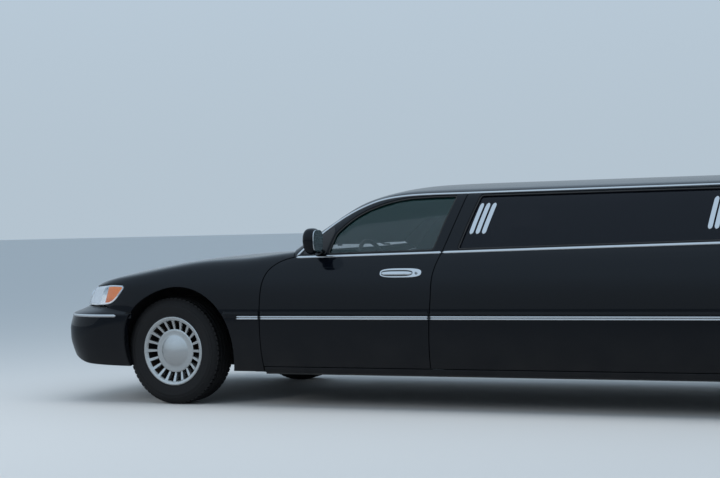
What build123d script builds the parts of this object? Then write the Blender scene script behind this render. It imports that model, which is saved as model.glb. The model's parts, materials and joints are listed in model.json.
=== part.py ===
from build123d import *
import os

# Stretch limousine: a three-box saloon on a separate frame, lengthened between its
# front and rear doors. Millimetres; X forward, Y to the car's left, Z up.
# The origin is on the ground below the centre of the car.

# Driving dimensions
length = 8520.0
width = 1976.0
roof_height = 1402.0
wheelbase = 6040.0
front_overhang = 1030.0
tyre_radius = 352.0
tyre_width = 224.0
rim_radius = 212.0
front_tyre_inset = 66.0  # from the body side in to the tyre's outer face
rear_tyre_inset = 51.0
ride_height = 215.0
stretch_length = 3048.0

# Walls and clearances
door_depth = 113.0  # from the body side in to the doors' inner face
panel_wall = 40.0
lid_wall = 28.0
frame_wall = 58.0
glass_wall = 5.0
shut_gap = 8.0
swing_clearance = 5.0
pin_clearance = 0.3

# Body lines; pairs are (y, z) on the left side
half_width = width / 2
door_inner_y = half_width - door_depth
sill_half_width = half_width - 50.0
rocker_top = 262.0
waist_height = 575.0
shoulder = (half_width - 60.0, 890.0)
belt = (half_width - 116.0, 978.0)
deck_crown = 1006.0
rail = (half_width - 336.0, 1334.0)
rail_split = 1320.0
belt_glass = 1000.0
glass_top = 1308.0
nose_slope = -0.075

# Hood line seen from the side: distance ahead of the front axle, height
hood_line = [(860.0, 752.0), (736.0, 806.0), (612.0, 846.0), (441.0, 887.0), (272.0, 917.0), (60.0, 948.0)]

# Stations along the car
front_axle_x = length / 2 - front_overhang
rear_axle_x = front_axle_x - wheelbase
front_door_x = front_axle_x - 718.0
front_door_length = 1192.0
stretch_front_x = front_door_x - front_door_length
stretch_rear_x = stretch_front_x - stretch_length
hood_rear_x = front_axle_x - 622.0
lamp_base_z = 645.0
lamp_top_z = 787.0
bumper_top = 602.0
bumper_base = 248.0
nose_inset = 72.0
screen_base_x = front_axle_x - 850.0
screen_top_x = front_axle_x - 1500.0
screen_bow = 170.0
back_glass_top_x = rear_axle_x + 330.0
back_glass_base_x = rear_axle_x - 330.0
back_glass_bow = 70.0

# Running gear, steering and wheel arches
track_front = width - tyre_width - 2 * front_tyre_inset
track_rear = width - tyre_width - 2 * rear_tyre_inset
kingpin_y = track_front / 2 - 50.0
arch_z = tyre_radius + 8.0
arch_radius = tyre_radius + 63.0
arch_offset = -50.0
rear_arch_radius = tyre_radius + 50.0
rear_door_arch_radius = rear_arch_radius + 58.0
liner_radius = tyre_radius + 122.0
liner_wall = 12.0
spindle_radius = 26.0
brake_radius = 140.0
frame_rail_y = (half_width - 608.0, half_width - 548.0)
frame_rail_z = 180.0
frame_rail_height = 60.0
frame_front_z = tyre_radius - 22.0  # underside of the rails beside the engine
frame_kick_z = tyre_radius + 88.0
sump_z = tyre_radius - 52.0
engine_half_width = frame_rail_y[0] - 90.0

# Door hinges: a vertical axis inside the skin, and the room that the leading edge turns in
hinge_inset_x = 48.0
hinge_y = half_width - 43.0
hinge_pin_radius = 8.0
hinge_heights = (400.0, 740.0)
hinge_swing = [(0.0, 400.0, 60.0), (400.0, 800.0, 65.0), (800.0, 1600.0, 60.0)]  # from z, to z, radius

# Hood and boot lid
lid_gap = 14.0
lid_side_gap = 6.0
lid_pin_radius = 7.0
lid_hinge_inset = 80.0
lid_tray_z = 850.0
lid_tray_wall = 14.0
hood_half_width = half_width - 280.0
hood_hinge = (hood_rear_x + lid_hinge_inset, 962.0)
hood_hinge_y = hood_half_width - 108.0
boot_front_x = back_glass_base_x - back_glass_bow - 25.0
boot_rear_x = -length / 2 + 52.0
boot_half_width = half_width - 298.0
boot_lid_base = 690.0
boot_hinge = (boot_front_x - lid_hinge_inset, 974.0)
boot_hinge_y = boot_half_width - 130.0
boot_floor = tyre_radius + 148.0
boot_half = boot_half_width - 10.0
nose_edge_z = 722.0
grille_half_width = 262.0
tail_lamp_top = 850.0
tail_lamp_inner = half_width - 548.0

# Licence plate screws, two in a line
plate_screw_spacing = 178.0
plate_screw_radius = 3.5
front_plate_z = 500.0
rear_plate_z = 835.0

far = 6000.0  # past every end of the car
out = 1200.0  # past either side of the car


def mirror_y(shape):
    return mirror(shape, about=Plane.XZ)


def both(shape):
    return [shape, mirror_y(shape)]


def box(x0, x1, y0, y1, z0, z1):
    centre = ((x0 + x1) / 2, (y0 + y1) / 2, (z0 + z1) / 2)
    return Pos(*centre) * Box(abs(x1 - x0), abs(y1 - y0), abs(z1 - z0))


def rod(start, end, radius):
    start, end = Vector(*start), Vector(*end)
    plane = Plane(origin=start, z_dir=end - start)
    return extrude(plane * Circle(radius), (end - start).length)


def side_prism(points, y0=-out, y1=out):
    """Extrude an (x, z) outline from y1 inwards to y0."""
    face = make_face(Polyline(*[(x, y1, z) for x, z in points], close=True))
    return extrude(face, y1 - y0, dir=Vector(0, -1, 0))


def plan_prism(points, z0, z1):
    face = make_face(Polyline(*[(x, y, z0) for x, y in points], close=True))
    return extrude(face, z1 - z0, dir=Vector(0, 0, 1))


def section_face(x, half):
    """A face across the car from the half outline (a list of edges with y >= 0)."""
    wires = half + [mirror_y(edge) for edge in half]
    return Pos(x, 0, 0) * make_face(wires)


def lower_section(x, inset=0.0):
    """Flanks with a waist and a rounded shoulder under a crowned top."""
    t = inset
    edges = [
        Line((0, 0, ride_height + t), (0, sill_half_width - 30 - t, ride_height + t)),
        Line((0, sill_half_width - 30 - t, ride_height + t), (0, sill_half_width - t, ride_height + 22 + t)),
        ThreePointArc((0, sill_half_width - t, ride_height + 22 + t), (0, half_width - 8 - t, 420),
                      (0, half_width - t, waist_height)),
        ThreePointArc((0, half_width - t, waist_height), (0, half_width - 13 - t, 745 - t / 2),
                      (0, shoulder[0] - t, shoulder[1] - t)),
        Line((0, shoulder[0] - t, shoulder[1] - t), (0, belt[0] - t, belt[1] - t)),
        ThreePointArc((0, belt[0] - t, belt[1] - t), (0, belt[0] / 2 + 14, deck_crown - 11 - t),
                      (0, 0, deck_crown - t)),
    ]
    return section_face(x, edges)


def cabin_section(x, inset=0.0):
    """Leaning glass sides under a crowned roof."""
    t = inset
    foot = 900.0
    edges = [
        Line((0, 0, foot), (0, belt[0] + 34 - t, foot)),
        ThreePointArc((0, belt[0] + 34 - t, foot), (0, belt[0] - 96 - t, 1150),
                      (0, rail[0] - t, rail[1] - t / 2)),
        ThreePointArc((0, rail[0] - t, rail[1] - t / 2), (0, rail[0] / 2 + 14, roof_height - 17 - t),
                      (0, 0, roof_height - t)),
    ]
    return section_face(x, edges)


def plan_outline(inset_front, inset_rear, inset_side=0.0):
    """Rounded nose and tail seen from above; insets pull in the ends and the flanks."""
    half_length = length / 2
    table = [  # distance from the end, distance in from the widest line
        (0.0, half_width), (18.0, 568.0), (90.0, 238.0), (235.0, 88.0), (560.0, 20.0), (960.0, -22.0)]
    front = [(half_length - inset_front - dx, half_width - dy - inset_side) for dx, dy in table]
    rear = [(-half_length + inset_rear + dx, half_width - dy - inset_side) for dx, dy in table]
    half = front[1:] + rear[:0:-1]
    return [(front[0][0], 0.0)] + half + [(rear[0][0], 0.0)] + [(x, -y) for x, y in reversed(half)]


def side_outline(inset=0.0):
    """The lower body's profile: hood, waist line, deck and the ends."""
    t = inset
    nose = length / 2 - nose_inset - t
    tail = -length / 2 + nose_inset
    hood = [(x + front_axle_x, z - t) for x, z in hood_line]
    return [(nose + 6, ride_height + t), (nose + 6, 640), (nose - 12, 700 - t)] + hood + [
        (hood_rear_x, 1060 - t), (tail + 900, 1060 - t), (tail + 120, 992 - t), (tail + 34, 952 - t),
        (tail + 12, 700), (tail - 6, ride_height + t)]


def lower_body(inset=0.0, x0=None, x1=None):
    """The body below the glass, as a solid block from x0 to x1, set in by a wall."""
    split = front_door_x
    x0 = -length / 2 if x0 is None else x0
    x1 = length / 2 if x1 is None else x1
    parts = []
    if x0 < split:
        parts.append(extrude(lower_section(x0, inset), min(x1, split) - x0, dir=Vector(1, 0, 0)))
    if x1 > split:
        start = max(x0, split)
        drop = nose_slope * (start - split)
        direction = Vector(1, 0, nose_slope)
        block = extrude(Pos(0, 0, drop) * lower_section(start, inset), (x1 - start) * direction.length,
                        dir=direction.normalized())
        parts.append(block & box(start, x1, -out, out, ride_height + inset, 1200))
    body = parts[0] if len(parts) == 1 else parts[0] + parts[1]
    plan = plan_prism(plan_outline(nose_inset + inset, nose_inset + inset, inset), 0, 1500)
    return body & plan & side_prism(side_outline(inset))


def screen_cutter(base_x, top_x, sign, inset=0.0):
    """Everything behind a bowed, raked screen; sign is 1 for the front, -1 for the rear."""
    base_z, top_z = belt[1], roof_height - 30
    rake = Vector(top_x - base_x, 0, top_z - base_z)
    bow = screen_bow if sign > 0 else back_glass_bow
    nose = base_x + sign * (bow - inset)
    edge = base_x - sign * inset
    y = belt[0] - 112
    arc = ThreePointArc((edge, -y, base_z), (nose, 0, base_z), (edge, y, base_z))
    back = edge - sign * far
    sides = Polyline((edge, y, base_z), (edge, out, base_z), (back, out, base_z), (back, -out, base_z),
                     (edge, -out, base_z), (edge, -y, base_z))
    face = make_face([arc, sides])
    up = extrude(face, rake.length * 1.3, dir=rake.normalized())
    down = extrude(face, rake.length * 0.4, dir=(rake * -1).normalized())
    return up + down


def roof_line():
    """Roof seen from the side, rounded down to both screens."""
    front, rear, top = screen_top_x, back_glass_top_x, roof_height
    fall = [(60.0, 42.0), (-20.0, 30.0), (-250.0, 10.0), (-700.0, 0.0)]  # beyond the screen top, drop
    line = [(far, top - 400)] + [(front + dx, top - drop) for dx, drop in fall]
    return line + [(rear - dx, top - drop) for dx, drop in reversed(fall)] + [(-far, top - 400)]


def cabin_block(inset=0.0):
    """The glasshouse as a solid block, set in by a wall."""
    block = extrude(cabin_section(-far, inset), 2 * far, dir=Vector(1, 0, 0))
    block &= screen_cutter(screen_base_x, screen_top_x, 1, inset)
    block &= screen_cutter(back_glass_base_x, back_glass_top_x, -1, inset)
    return block & side_prism([(x, z - inset) for x, z in roof_line()] + [(-far, 0), (far, 0)])


def arch(axle_x, radius, y0, y1, offset=0.0):
    return rod((axle_x + offset, y0, arch_z), (axle_x + offset, y1, arch_z), radius)


# Door outlines on the skin: x, distance in from the widest line, z
front_door_skin = [
    (front_door_x, 28, rocker_top + 6), (front_door_x, 8, 720), (front_door_x - 25, 48, 850),
    (front_door_x - 200, 108, 962), (front_axle_x - 1120, 208, 1120), (front_axle_x - 1275, 264, 1222),
    (front_axle_x - 1440, 313, 1288), (front_axle_x - 1630, 326, rail_split - 6),
    (stretch_front_x - 140, 328, rail_split - 6), (stretch_front_x - 46, 116, 978),
    (stretch_front_x - 6, 18, 760), (stretch_front_x + 8, 3, 575), (stretch_front_x + 8, 28, rocker_top + 6)]
rear_door_skin = [
    (stretch_rear_x, 28, rocker_top + 6), (stretch_rear_x, 3, 575), (stretch_rear_x - 6, 18, 760),
    (stretch_rear_x - 30, 116, 978), (stretch_rear_x - 60, 328, rail_split - 6),
    (rear_axle_x + 560, 328, rail_split - 6), (rear_axle_x + 330, 288, 1235), (rear_axle_x + 70, 116, 985)]

# The rear door's edge round the wheel: angle above the axle, distance in from the widest line
for angle, inset in ((76, 26), (57, 13), (31, 3), (5, 3)):
    edge = Vector(rear_door_arch_radius, 0, 0).rotate(Axis.Y, -angle)
    rear_door_skin.append((rear_axle_x + edge.X, inset, arch_z + edge.Z))
rear_door_skin.append((rear_axle_x + rear_door_arch_radius + 38, 28, rocker_top + 6))

doors = {  # name: skin outline, hinge edge x, lean of the shut faces, top of the leading edge
    "front": (front_door_skin, front_door_x, 0.36, 870.0),
    "rear": (rear_door_skin, stretch_rear_x, 0.75, 985.0),
}

# Window outlines seen from the side: x, z
windows = {
    "front": [(front_axle_x - 1165, belt_glass), (front_axle_x - 1195, 1105), (front_axle_x - 1330, 1218),
              (front_axle_x - 1480, 1276), (front_axle_x - 1650, glass_top - 12),
              (stretch_front_x - 92, glass_top - 12), (stretch_front_x - 14, belt_glass)],
    "rear": [(stretch_rear_x - 75, belt_glass), (stretch_rear_x - 105, glass_top - 12),
             (rear_axle_x + 590, glass_top - 12), (rear_axle_x + 400, 1235), (rear_axle_x + 190, belt_glass)],
}
door_plane_y = half_width + 12


def swing_block(name, grow=0.0):
    """The room in which a door's leading edge turns about its hinge, wider by grow."""
    axis_x = doors[name][1] - hinge_inset_x
    block = None
    for z0, z1, radius in hinge_swing:
        drum = Pos(axis_x, hinge_y, (z0 + z1) / 2) * Cylinder(radius + grow, z1 - z0 + 2 * grow)
        block = drum if block is None else block + drum
    return block


def door_prism(name, grow=0.0):
    """The door's block on the left side, cut round about the hinge in front of it."""
    skin, hinge_x, lean, _ = doors[name]
    points = [(x - lean * (inset + door_plane_y - half_width), z) for x, inset, z in skin]
    face = make_face(Polyline(*[(x, door_plane_y, z) for x, z in points], close=True))
    if grow:
        face = offset(face, amount=grow, kind=Kind.INTERSECTION)
    direction = Vector(lean, -1, 0)
    prism = extrude(face, 460 * direction.length, dir=direction.normalized())
    prism += extrude(face, 60 * direction.length, dir=(direction * -1).normalized())
    axis_x = hinge_x - hinge_inset_x
    return prism & (box(-far, axis_x + grow, 0, out, 0, 1600) + swing_block(name, grow))


def door_hole(name):
    """What a door and its leading edge need free of the pieces around it."""
    low, high = rocker_top + 6 - shut_gap, doors[name][3]
    nose = swing_block(name, swing_clearance) & box(-far, far, 0, out, low, high)
    return door_prism(name, shut_gap) + nose


def window_prism(name):
    return side_prism(windows[name], 0, out)


def hinge_leaf(axis_x, z):
    """Fixed hinge arm and its pin, from the post out to the door's axis."""
    arm = box(axis_x - 13, axis_x + 13, door_inner_y - 25, hinge_y, z, z + 12)
    arm += Pos(axis_x, hinge_y, z + 6) * Cylinder(15, 12)
    return arm + Pos(axis_x, hinge_y, z - 12) * Cylinder(hinge_pin_radius, 40)


def door_barrel(axis_x, z):
    """Door side of the hinge: a barrel that turns on the pin, with its web."""
    web = box(axis_x - 60, axis_x, hinge_y - 12, hinge_y + 12, z - 26, z - 1)
    web += Pos(axis_x, hinge_y, z - 13.5) * Cylinder(16, 25)
    return web - Pos(axis_x, hinge_y, z - 20) * Cylinder(hinge_pin_radius + pin_clearance, 80)


def solid_of(shape):
    """The single largest solid of a shape."""
    return max(shape.solids(), key=lambda s: s.volume)


# Shell blocks shared by every panel
outer = lower_body() + cabin_block()
cabin_cavity = box(rear_axle_x + 250, front_door_x + 40, -door_inner_y, door_inner_y, 200, 930)
cabin_cavity += cabin_block(frame_wall)
front_cavity = lower_body(panel_wall, front_door_x - 260, length / 2)
rear_cavity = lower_body(panel_wall, -length / 2, rear_axle_x + 260)
shell = outer - cabin_cavity - front_cavity - rear_cavity
for side in (1, -1):
    shell -= arch(front_axle_x, arch_radius, side * 500, side * out, arch_offset)
    shell -= arch(rear_axle_x, rear_arch_radius, side * 500, side * out)

# Where the hood's front edge meets the lamps and the grille: x, z
face_line = [(front_axle_x + 408, lamp_top_z), (front_axle_x + 690, lamp_top_z), (length / 2, nose_edge_z)]


def hood_prism(width_half, rear_x, drop):
    """Everything above the lamps and grille that the hood covers, cut lower by drop for the gap."""
    line = [(x, z + 8 - drop) for x, z in face_line]
    points = [(rear_x, 1100), (rear_x, lamp_top_z + 8 - drop)] + line + [(length, nose_edge_z), (length, 1100)]
    return side_prism(points, -width_half, width_half)


hood_block = hood_prism(hood_half_width, hood_rear_x, 0.0)
hood_gap_block = hood_prism(hood_half_width + lid_side_gap, hood_rear_x - lid_gap, swing_clearance)
boot_block = box(-far, boot_front_x, -boot_half_width, boot_half_width, boot_lid_base, 1100)
boot_gap_half = boot_half_width + lid_side_gap
boot_gap_block = box(-far, boot_front_x + lid_gap, -boot_gap_half, boot_gap_half, boot_lid_base - 6, 1100)
lamp_side = [face_line[0], (front_axle_x + 520, lamp_base_z), (length, lamp_base_z), (length, nose_edge_z)]
lamp_side += [face_line[2], face_line[1]]
pillar_foot_z = 985.0
post_y = (door_inner_y - 85, door_inner_y - 20)
upper_edge_y = rail[0] - 92
post_top_z = 880.0

nodes = {}


def make_doors():
    upper = cabin_block() - cabin_block(frame_wall)
    lower = lower_body() - box(-far, far, -door_inner_y, door_inner_y, 0, 930) - cabin_block(frame_wall)
    wall = upper + lower - box(-far, far, -belt[0] + 72, belt[0] - 72, 0, pillar_foot_z)
    wall &= box(-far, far, upper_edge_y, out, 0, 1500)
    pane = cabin_block(22) - cabin_block(22 + glass_wall)
    for name, (skin, hinge_x, lean, _) in doors.items():
        axis_x = hinge_x - hinge_inset_x
        opening = window_prism(name) & box(-far, far, 400, out, belt_glass - 60, 1500)
        door = wall & door_prism(name)
        door -= opening
        for z in hinge_heights:
            door -= box(axis_x - 44, axis_x + 90, door_inner_y - 15, hinge_y + 20, z - 36, z + 24)
            door += door_barrel(axis_x, z)
        if name == "front":
            door += mirror_head()
        door = solid_of(door)
        glass = solid_of(pane & opening)
        for suffix, hand in (("left", lambda s: s), ("right", mirror_y)):
            nodes[f"door_{name}_{suffix}"] = hand(door)
            nodes[f"glass_{name}_{suffix}"] = hand(glass)


def mirror_head():
    x = front_axle_x - 1135
    head = box(x - 45, x + 45, half_width - 68, half_width + 87, 985, 1120)
    head = fillet(head.edges(), 18)
    return head + box(x - 25, x + 25, half_width - 158, half_width - 53, 975, 1015)


def ends_shell(wall, front=True):
    """The upper body's skin at one end, as thick as wall, open above and below."""
    inset = nose_inset + wall
    inner = plan_outline(inset, length / 2, wall) if front else plan_outline(length / 2, inset, wall)
    return lower_body() - plan_prism(inner, 0, 1500)


def flank_block():
    """The flanks' width over the whole length, with no rounding at the ends."""
    return extrude(lower_section(-far), 2 * far, dir=Vector(1, 0, 0)) & box(-far, far, -out, out, 0, 900)


def bumper(base, front=True):
    """A wrapping bumper with a ledge on top, cut away at the wheel arch."""
    ledge = 30.0
    inset = nose_inset + panel_wall
    block = plan_prism(plan_outline(0, 0), base, bumper_top) & flank_block()
    block -= plan_prism(plan_outline(panel_wall, panel_wall, panel_wall), 0, bumper_top - ledge)
    block -= plan_prism(plan_outline(inset, inset, panel_wall), 0, length)
    if front:
        block -= arch(front_axle_x, arch_radius, -out, out, arch_offset)
        return block & box(front_axle_x + 330, length, -out, out, 0, 900)
    block -= arch(rear_axle_x, rear_arch_radius, -out, out)
    return block & box(-length, rear_axle_x - 330, -out, out, 0, 900)


def plate_screws(x, z):
    """The two holes for a licence plate, running through the wall at x."""
    y = plate_screw_spacing / 2
    holes = [rod((x - 90, side * y, z), (x + 90, side * y, z), plate_screw_radius) for side in (-1, 1)]
    return holes[0] + holes[1]


def make_front():
    fender = shell & box(front_door_x - 260, length / 2, upper_edge_y, out, 0, 1100)
    fender -= box(0, hood_rear_x, 0, out, pillar_foot_z, 1200)
    fender -= box(0, length, 0, hood_half_width + lid_side_gap, 0, 1200)
    fender -= door_hole("front") + hood_gap_block
    fender -= box(front_axle_x + 330, length, 0, out, 0, bumper_top)
    fender -= box(0, front_door_x - 6, 0, out, 0, rocker_top)
    lamp_prism = side_prism(lamp_side, 0, out)
    nodes["front_fenders"] = both(solid_of(fender - lamp_prism))

    lamp = ends_shell(90) & lamp_prism & box(0, length, grille_half_width, out, 0, 1000)
    nodes["headlamps"] = both(solid_of(lamp))

    face = [(front_axle_x + 780, bumper_top), (length, bumper_top), (length, nose_edge_z), face_line[2],
            (front_axle_x + 780, lamp_top_z - 20)]
    nodes["grille"] = solid_of(ends_shell(60) & side_prism(face, -grille_half_width, grille_half_width))
    filler = ends_shell(60) & box(front_axle_x + 700, length, grille_half_width, hood_half_width + lid_side_gap,
                                  bumper_top, lamp_base_z)
    front = bumper(bumper_base) + filler + mirror_y(filler)
    nodes["front_bumper"] = solid_of(front - plate_screws(length / 2, front_plate_z))

    hood = (lower_body() - lower_body(lid_wall)) & hood_block
    for y in (-hood_hinge_y, hood_hinge_y):
        hood = with_eye(hood, hood_hinge, y, 1)
    nodes["hood"] = solid_of(hood)


def with_eye(lid, hinge, y, sign):
    """Add the lid's hinge eye, in a pocket that leaves room for the fixed lugs."""
    x, z = hinge
    room, eye = 36.0, 10.0
    back = x - sign * (lid_hinge_inset + 10)
    lid -= box(back, x, y - room, y + room, z - 60, z + 7) + rod((x, y - room, z), (x, y + room, z), 15)
    lid -= box(x, x + sign * 15, y - room, y + room, z - 60, z)
    lid += rod((x, y - eye, z), (x, y + eye, z), eye) + box(x, x + sign * 40, y - eye, y + eye, z - 9, z + 8)
    return lid - rod((x, y - 20, z), (x, y + 20, z), lid_pin_radius + pin_clearance)


def lid_bracket(hinge, y):
    """Fixed lugs on the tray, either side of a lid's eye, with the pin through them."""
    x, z = hinge
    bracket = rod((x, y - 29, z), (x, y + 29, z), lid_pin_radius)
    for side in (-1, 1):
        lug_y = y + side * 22
        bracket += box(x - 7, x + 7, lug_y - 6, lug_y + 6, lid_tray_z, z)
        bracket += rod((x, lug_y - 6, z), (x, lug_y + 6, z), 9)
    return bracket


def lid_deck(x0, x1, y):
    """The fixed strip of the upper skin between a lid and the glass."""
    return (lower_body() - lower_body(lid_wall)) & box(x0, x1, -y, y, 900, 1100)


apron_y = (478.0, 498.0)


def make_engine_bay():
    """Firewall, cowl, inner aprons, arch liners, radiator support and hinge posts."""
    wall_x = hood_rear_x - 40
    tray_top = lid_tray_z + lid_tray_wall
    tray_y = hood_half_width - 8
    bay = box(wall_x - 26, wall_x, 5 - post_y[1], post_y[1] - 5, rocker_top, 900)
    bay += box(wall_x - 26, hood_hinge[0] + 14, -tray_y, tray_y, lid_tray_z, tray_top)
    bay += box(wall_x - 26, wall_x, -tray_y, tray_y, lid_tray_z, 960)
    cowl = lid_deck(front_door_x - 160, hood_rear_x - lid_gap, hood_half_width)
    bay += cowl - cabin_block()
    rail_top = frame_front_z + frame_rail_height
    bay += box(front_axle_x + 660, front_axle_x + 700, -600, 600, rail_top, 640)
    for side in (1, -1):
        apron = box(wall_x, front_axle_x + 700, side * apron_y[0], side * apron_y[1], rail_top, 700)
        apron -= box(front_axle_x - 90, front_axle_x + 90, side * 470, side * 510, rail_top - 10,
                     tyre_radius + 168)
        ring = arch(front_axle_x, liner_radius + liner_wall, side * 490, side * 900, arch_offset)
        ring -= arch(front_axle_x, liner_radius, side * 480, side * 1000, arch_offset)
        ring &= front_cavity & box(0, length, -out, out, arch_z + 30, 1100)
        post = box(front_door_x - 110, wall_x + 60, side * post_y[0], side * post_y[1], 340, post_top_z)
        bay += apron + ring + post
        for z in hinge_heights:
            leaf = hinge_leaf(front_door_x - hinge_inset_x, z)
            bay += leaf if side > 0 else mirror_y(leaf)
        bay += lid_bracket(hood_hinge, side * hood_hinge_y)
    bay -= box(0, length, -tunnel_half_width - 4, tunnel_half_width + 4, 200, tunnel_top + 2)
    nodes["engine_bay"] = solid_of(bay)


def screen_opening(sign):
    """The block that a screen fills, seen square on to the glass."""
    base_x, top_x = (screen_base_x, screen_top_x) if sign > 0 else (back_glass_base_x, back_glass_top_x)
    low_y, high_y = belt[0] - 127, rail[0] - 92
    low_z, high_z = 1012.0, 1340.0
    face = make_face(Polyline((0, -low_y, low_z), (0, low_y, low_z), (0, high_y, high_z), (0, -high_y, high_z),
                              close=True))
    start = min(base_x, top_x) - (40 if sign > 0 else 400)
    end = max(base_x, top_x) + (400 if sign > 0 else 40)
    return extrude(Pos(start, 0, 0) * face, end - start, dir=Vector(1, 0, 0))


def make_roof():
    roof = cabin_block() - cabin_block(frame_wall)
    front_half = box(front_axle_x - 1500, front_axle_x - 500, -out, out, 930, 1500)
    roof &= front_half + box(-far, far, -out, out, rail_split, 1500)
    for name in doors:
        hole = door_hole(name)
        roof -= hole
        roof -= mirror_y(hole)
    front_pane, rear_pane = screen_opening(1), screen_opening(-1)
    roof -= front_pane + rear_pane
    roof &= box(-far, far, -out, out, pillar_foot_z, 1500)
    nodes["roof_panel"] = solid_of(roof - hood_gap_block)
    pane = cabin_block(20) - cabin_block(20 + glass_wall)
    nodes["windscreen"] = solid_of(pane & front_pane)
    nodes["rear_window"] = solid_of(pane & rear_pane)


def stretch_window_stations():
    """Front and rear edge of each pane at the belt."""
    start = stretch_front_x - 150
    split_x = front_axle_x - 3720
    end = stretch_rear_x + 110
    return [(start, split_x + 30), (split_x - 30, end)]


def make_sides():
    wall = shell & box(-far, far, upper_edge_y, out, rocker_top, rail_split)
    front_hole, rear_hole = door_hole("front"), door_hole("rear")
    stretch = wall & box(stretch_rear_x - 60, stretch_front_x + 20, 0, out, 0, 1500)
    stretch -= front_hole + rear_hole
    panes = []
    pane = cabin_block(22) - cabin_block(22 + glass_wall)
    for start, end in stretch_window_stations():
        points = [(start, belt_glass), (start - 42, glass_top - 12), (end - 20, glass_top - 12),
                  (end + 10, belt_glass)]
        opening = side_prism(points, 400, out)
        stretch -= opening
        panes.append(solid_of(pane & opening))
    axis_x = stretch_rear_x - hinge_inset_x
    stretch += box(axis_x - 40, axis_x + 140, *post_y, 340, 900)
    stretch += box(axis_x + 110, axis_x + 140, post_y[1], door_inner_y + 10, 340, 900)
    for z in hinge_heights:
        stretch += hinge_leaf(axis_x, z)
    nodes["stretch_sides"] = both(solid_of(stretch))
    nodes["stretch_glass"] = [hand(p) for p in panes for hand in (lambda s: s, mirror_y)]

    quarter = shell & box(-length / 2, rear_axle_x + 700, upper_edge_y, out, ride_height, rail_split)
    quarter -= rear_hole + boot_gap_block
    quarter -= box(-far, rear_axle_x - 330, 0, out, 0, bumper_top)
    quarter -= box(rear_axle_x + 480, far, 0, out, 0, rocker_top)
    quarter -= screen_opening(-1)
    lamp = tail_lamp_block()
    quarter -= lamp
    house = arch(rear_axle_x, rear_arch_radius + liner_wall, boot_half, half_width - 58)
    house -= arch(rear_axle_x, rear_arch_radius, boot_half + liner_wall, out)
    house &= box(-far, far, 0, out, arch_z + 50, 1100)
    nodes["quarter_panels"] = both(solid_of(quarter + house))
    nodes["tail_lamps"] = both(solid_of(ends_shell(70, front=False) & lamp))


def tail_lamp_block():
    block = box(-length / 2, boot_rear_x + 200, tail_lamp_inner, out, bumper_top, tail_lamp_top)
    return block - box(-far, far, 0, boot_gap_half, boot_lid_base - 6, 1100)


def make_rear():
    nodes["rear_bumper"] = solid_of(bumper(bumper_base + 40, front=False))
    lid = (lower_body() - lower_body(lid_wall)) & boot_block
    for y in (-boot_hinge_y, boot_hinge_y):
        lid = with_eye(lid, boot_hinge, y, -1)
    nodes["trunk_lid"] = solid_of(lid - plate_screws(boot_rear_x, rear_plate_z))

    rear, front = -length / 2 + 245, rear_axle_x + 235
    wall, floor_top = 14.0, boot_floor + 14
    tray_top = lid_tray_z + lid_tray_wall
    tub = box(rear, front, -boot_half, boot_half, boot_floor, floor_top)
    tub += box(front - wall, front, -boot_half, boot_half, boot_floor, 940)
    for side in (1, -1):
        tub += box(rear, front, side * (boot_half - 12), side * boot_half, boot_floor, 660)
        tub += lid_bracket(boot_hinge, side * boot_hinge_y)
    tub += box(boot_hinge[0] - 20, front, -boot_half + 20, boot_half - 20, lid_tray_z, tray_top)
    tub += lid_deck(boot_front_x + lid_gap, back_glass_base_x + 60, upper_edge_y)
    tub += box(back_glass_base_x, back_glass_base_x + 40, -upper_edge_y, upper_edge_y, lid_tray_z, 985)
    tail = box(-length, 0, -tail_lamp_inner, tail_lamp_inner, bumper_top, boot_lid_base - 6)
    tub += ends_shell(60, front=False) & tail
    sill = boot_lid_base - 26
    sill_half = tail_lamp_inner - 40
    tub += box(rear - 140, rear - 80, -sill_half, sill_half, sill, boot_lid_base - 6)
    tub += box(rear - 100, rear + wall, -tail_lamp_inner, tail_lamp_inner, boot_floor, floor_top)
    tub += box(rear - 100, rear - 80, -tail_lamp_inner, tail_lamp_inner, boot_floor, boot_lid_base - 6)
    nodes["boot_tub"] = solid_of(tub)


# Floor
floor_z = (248.0, 262.0)
tunnel_half_width = 96.0
tunnel_top = 350.0


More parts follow.
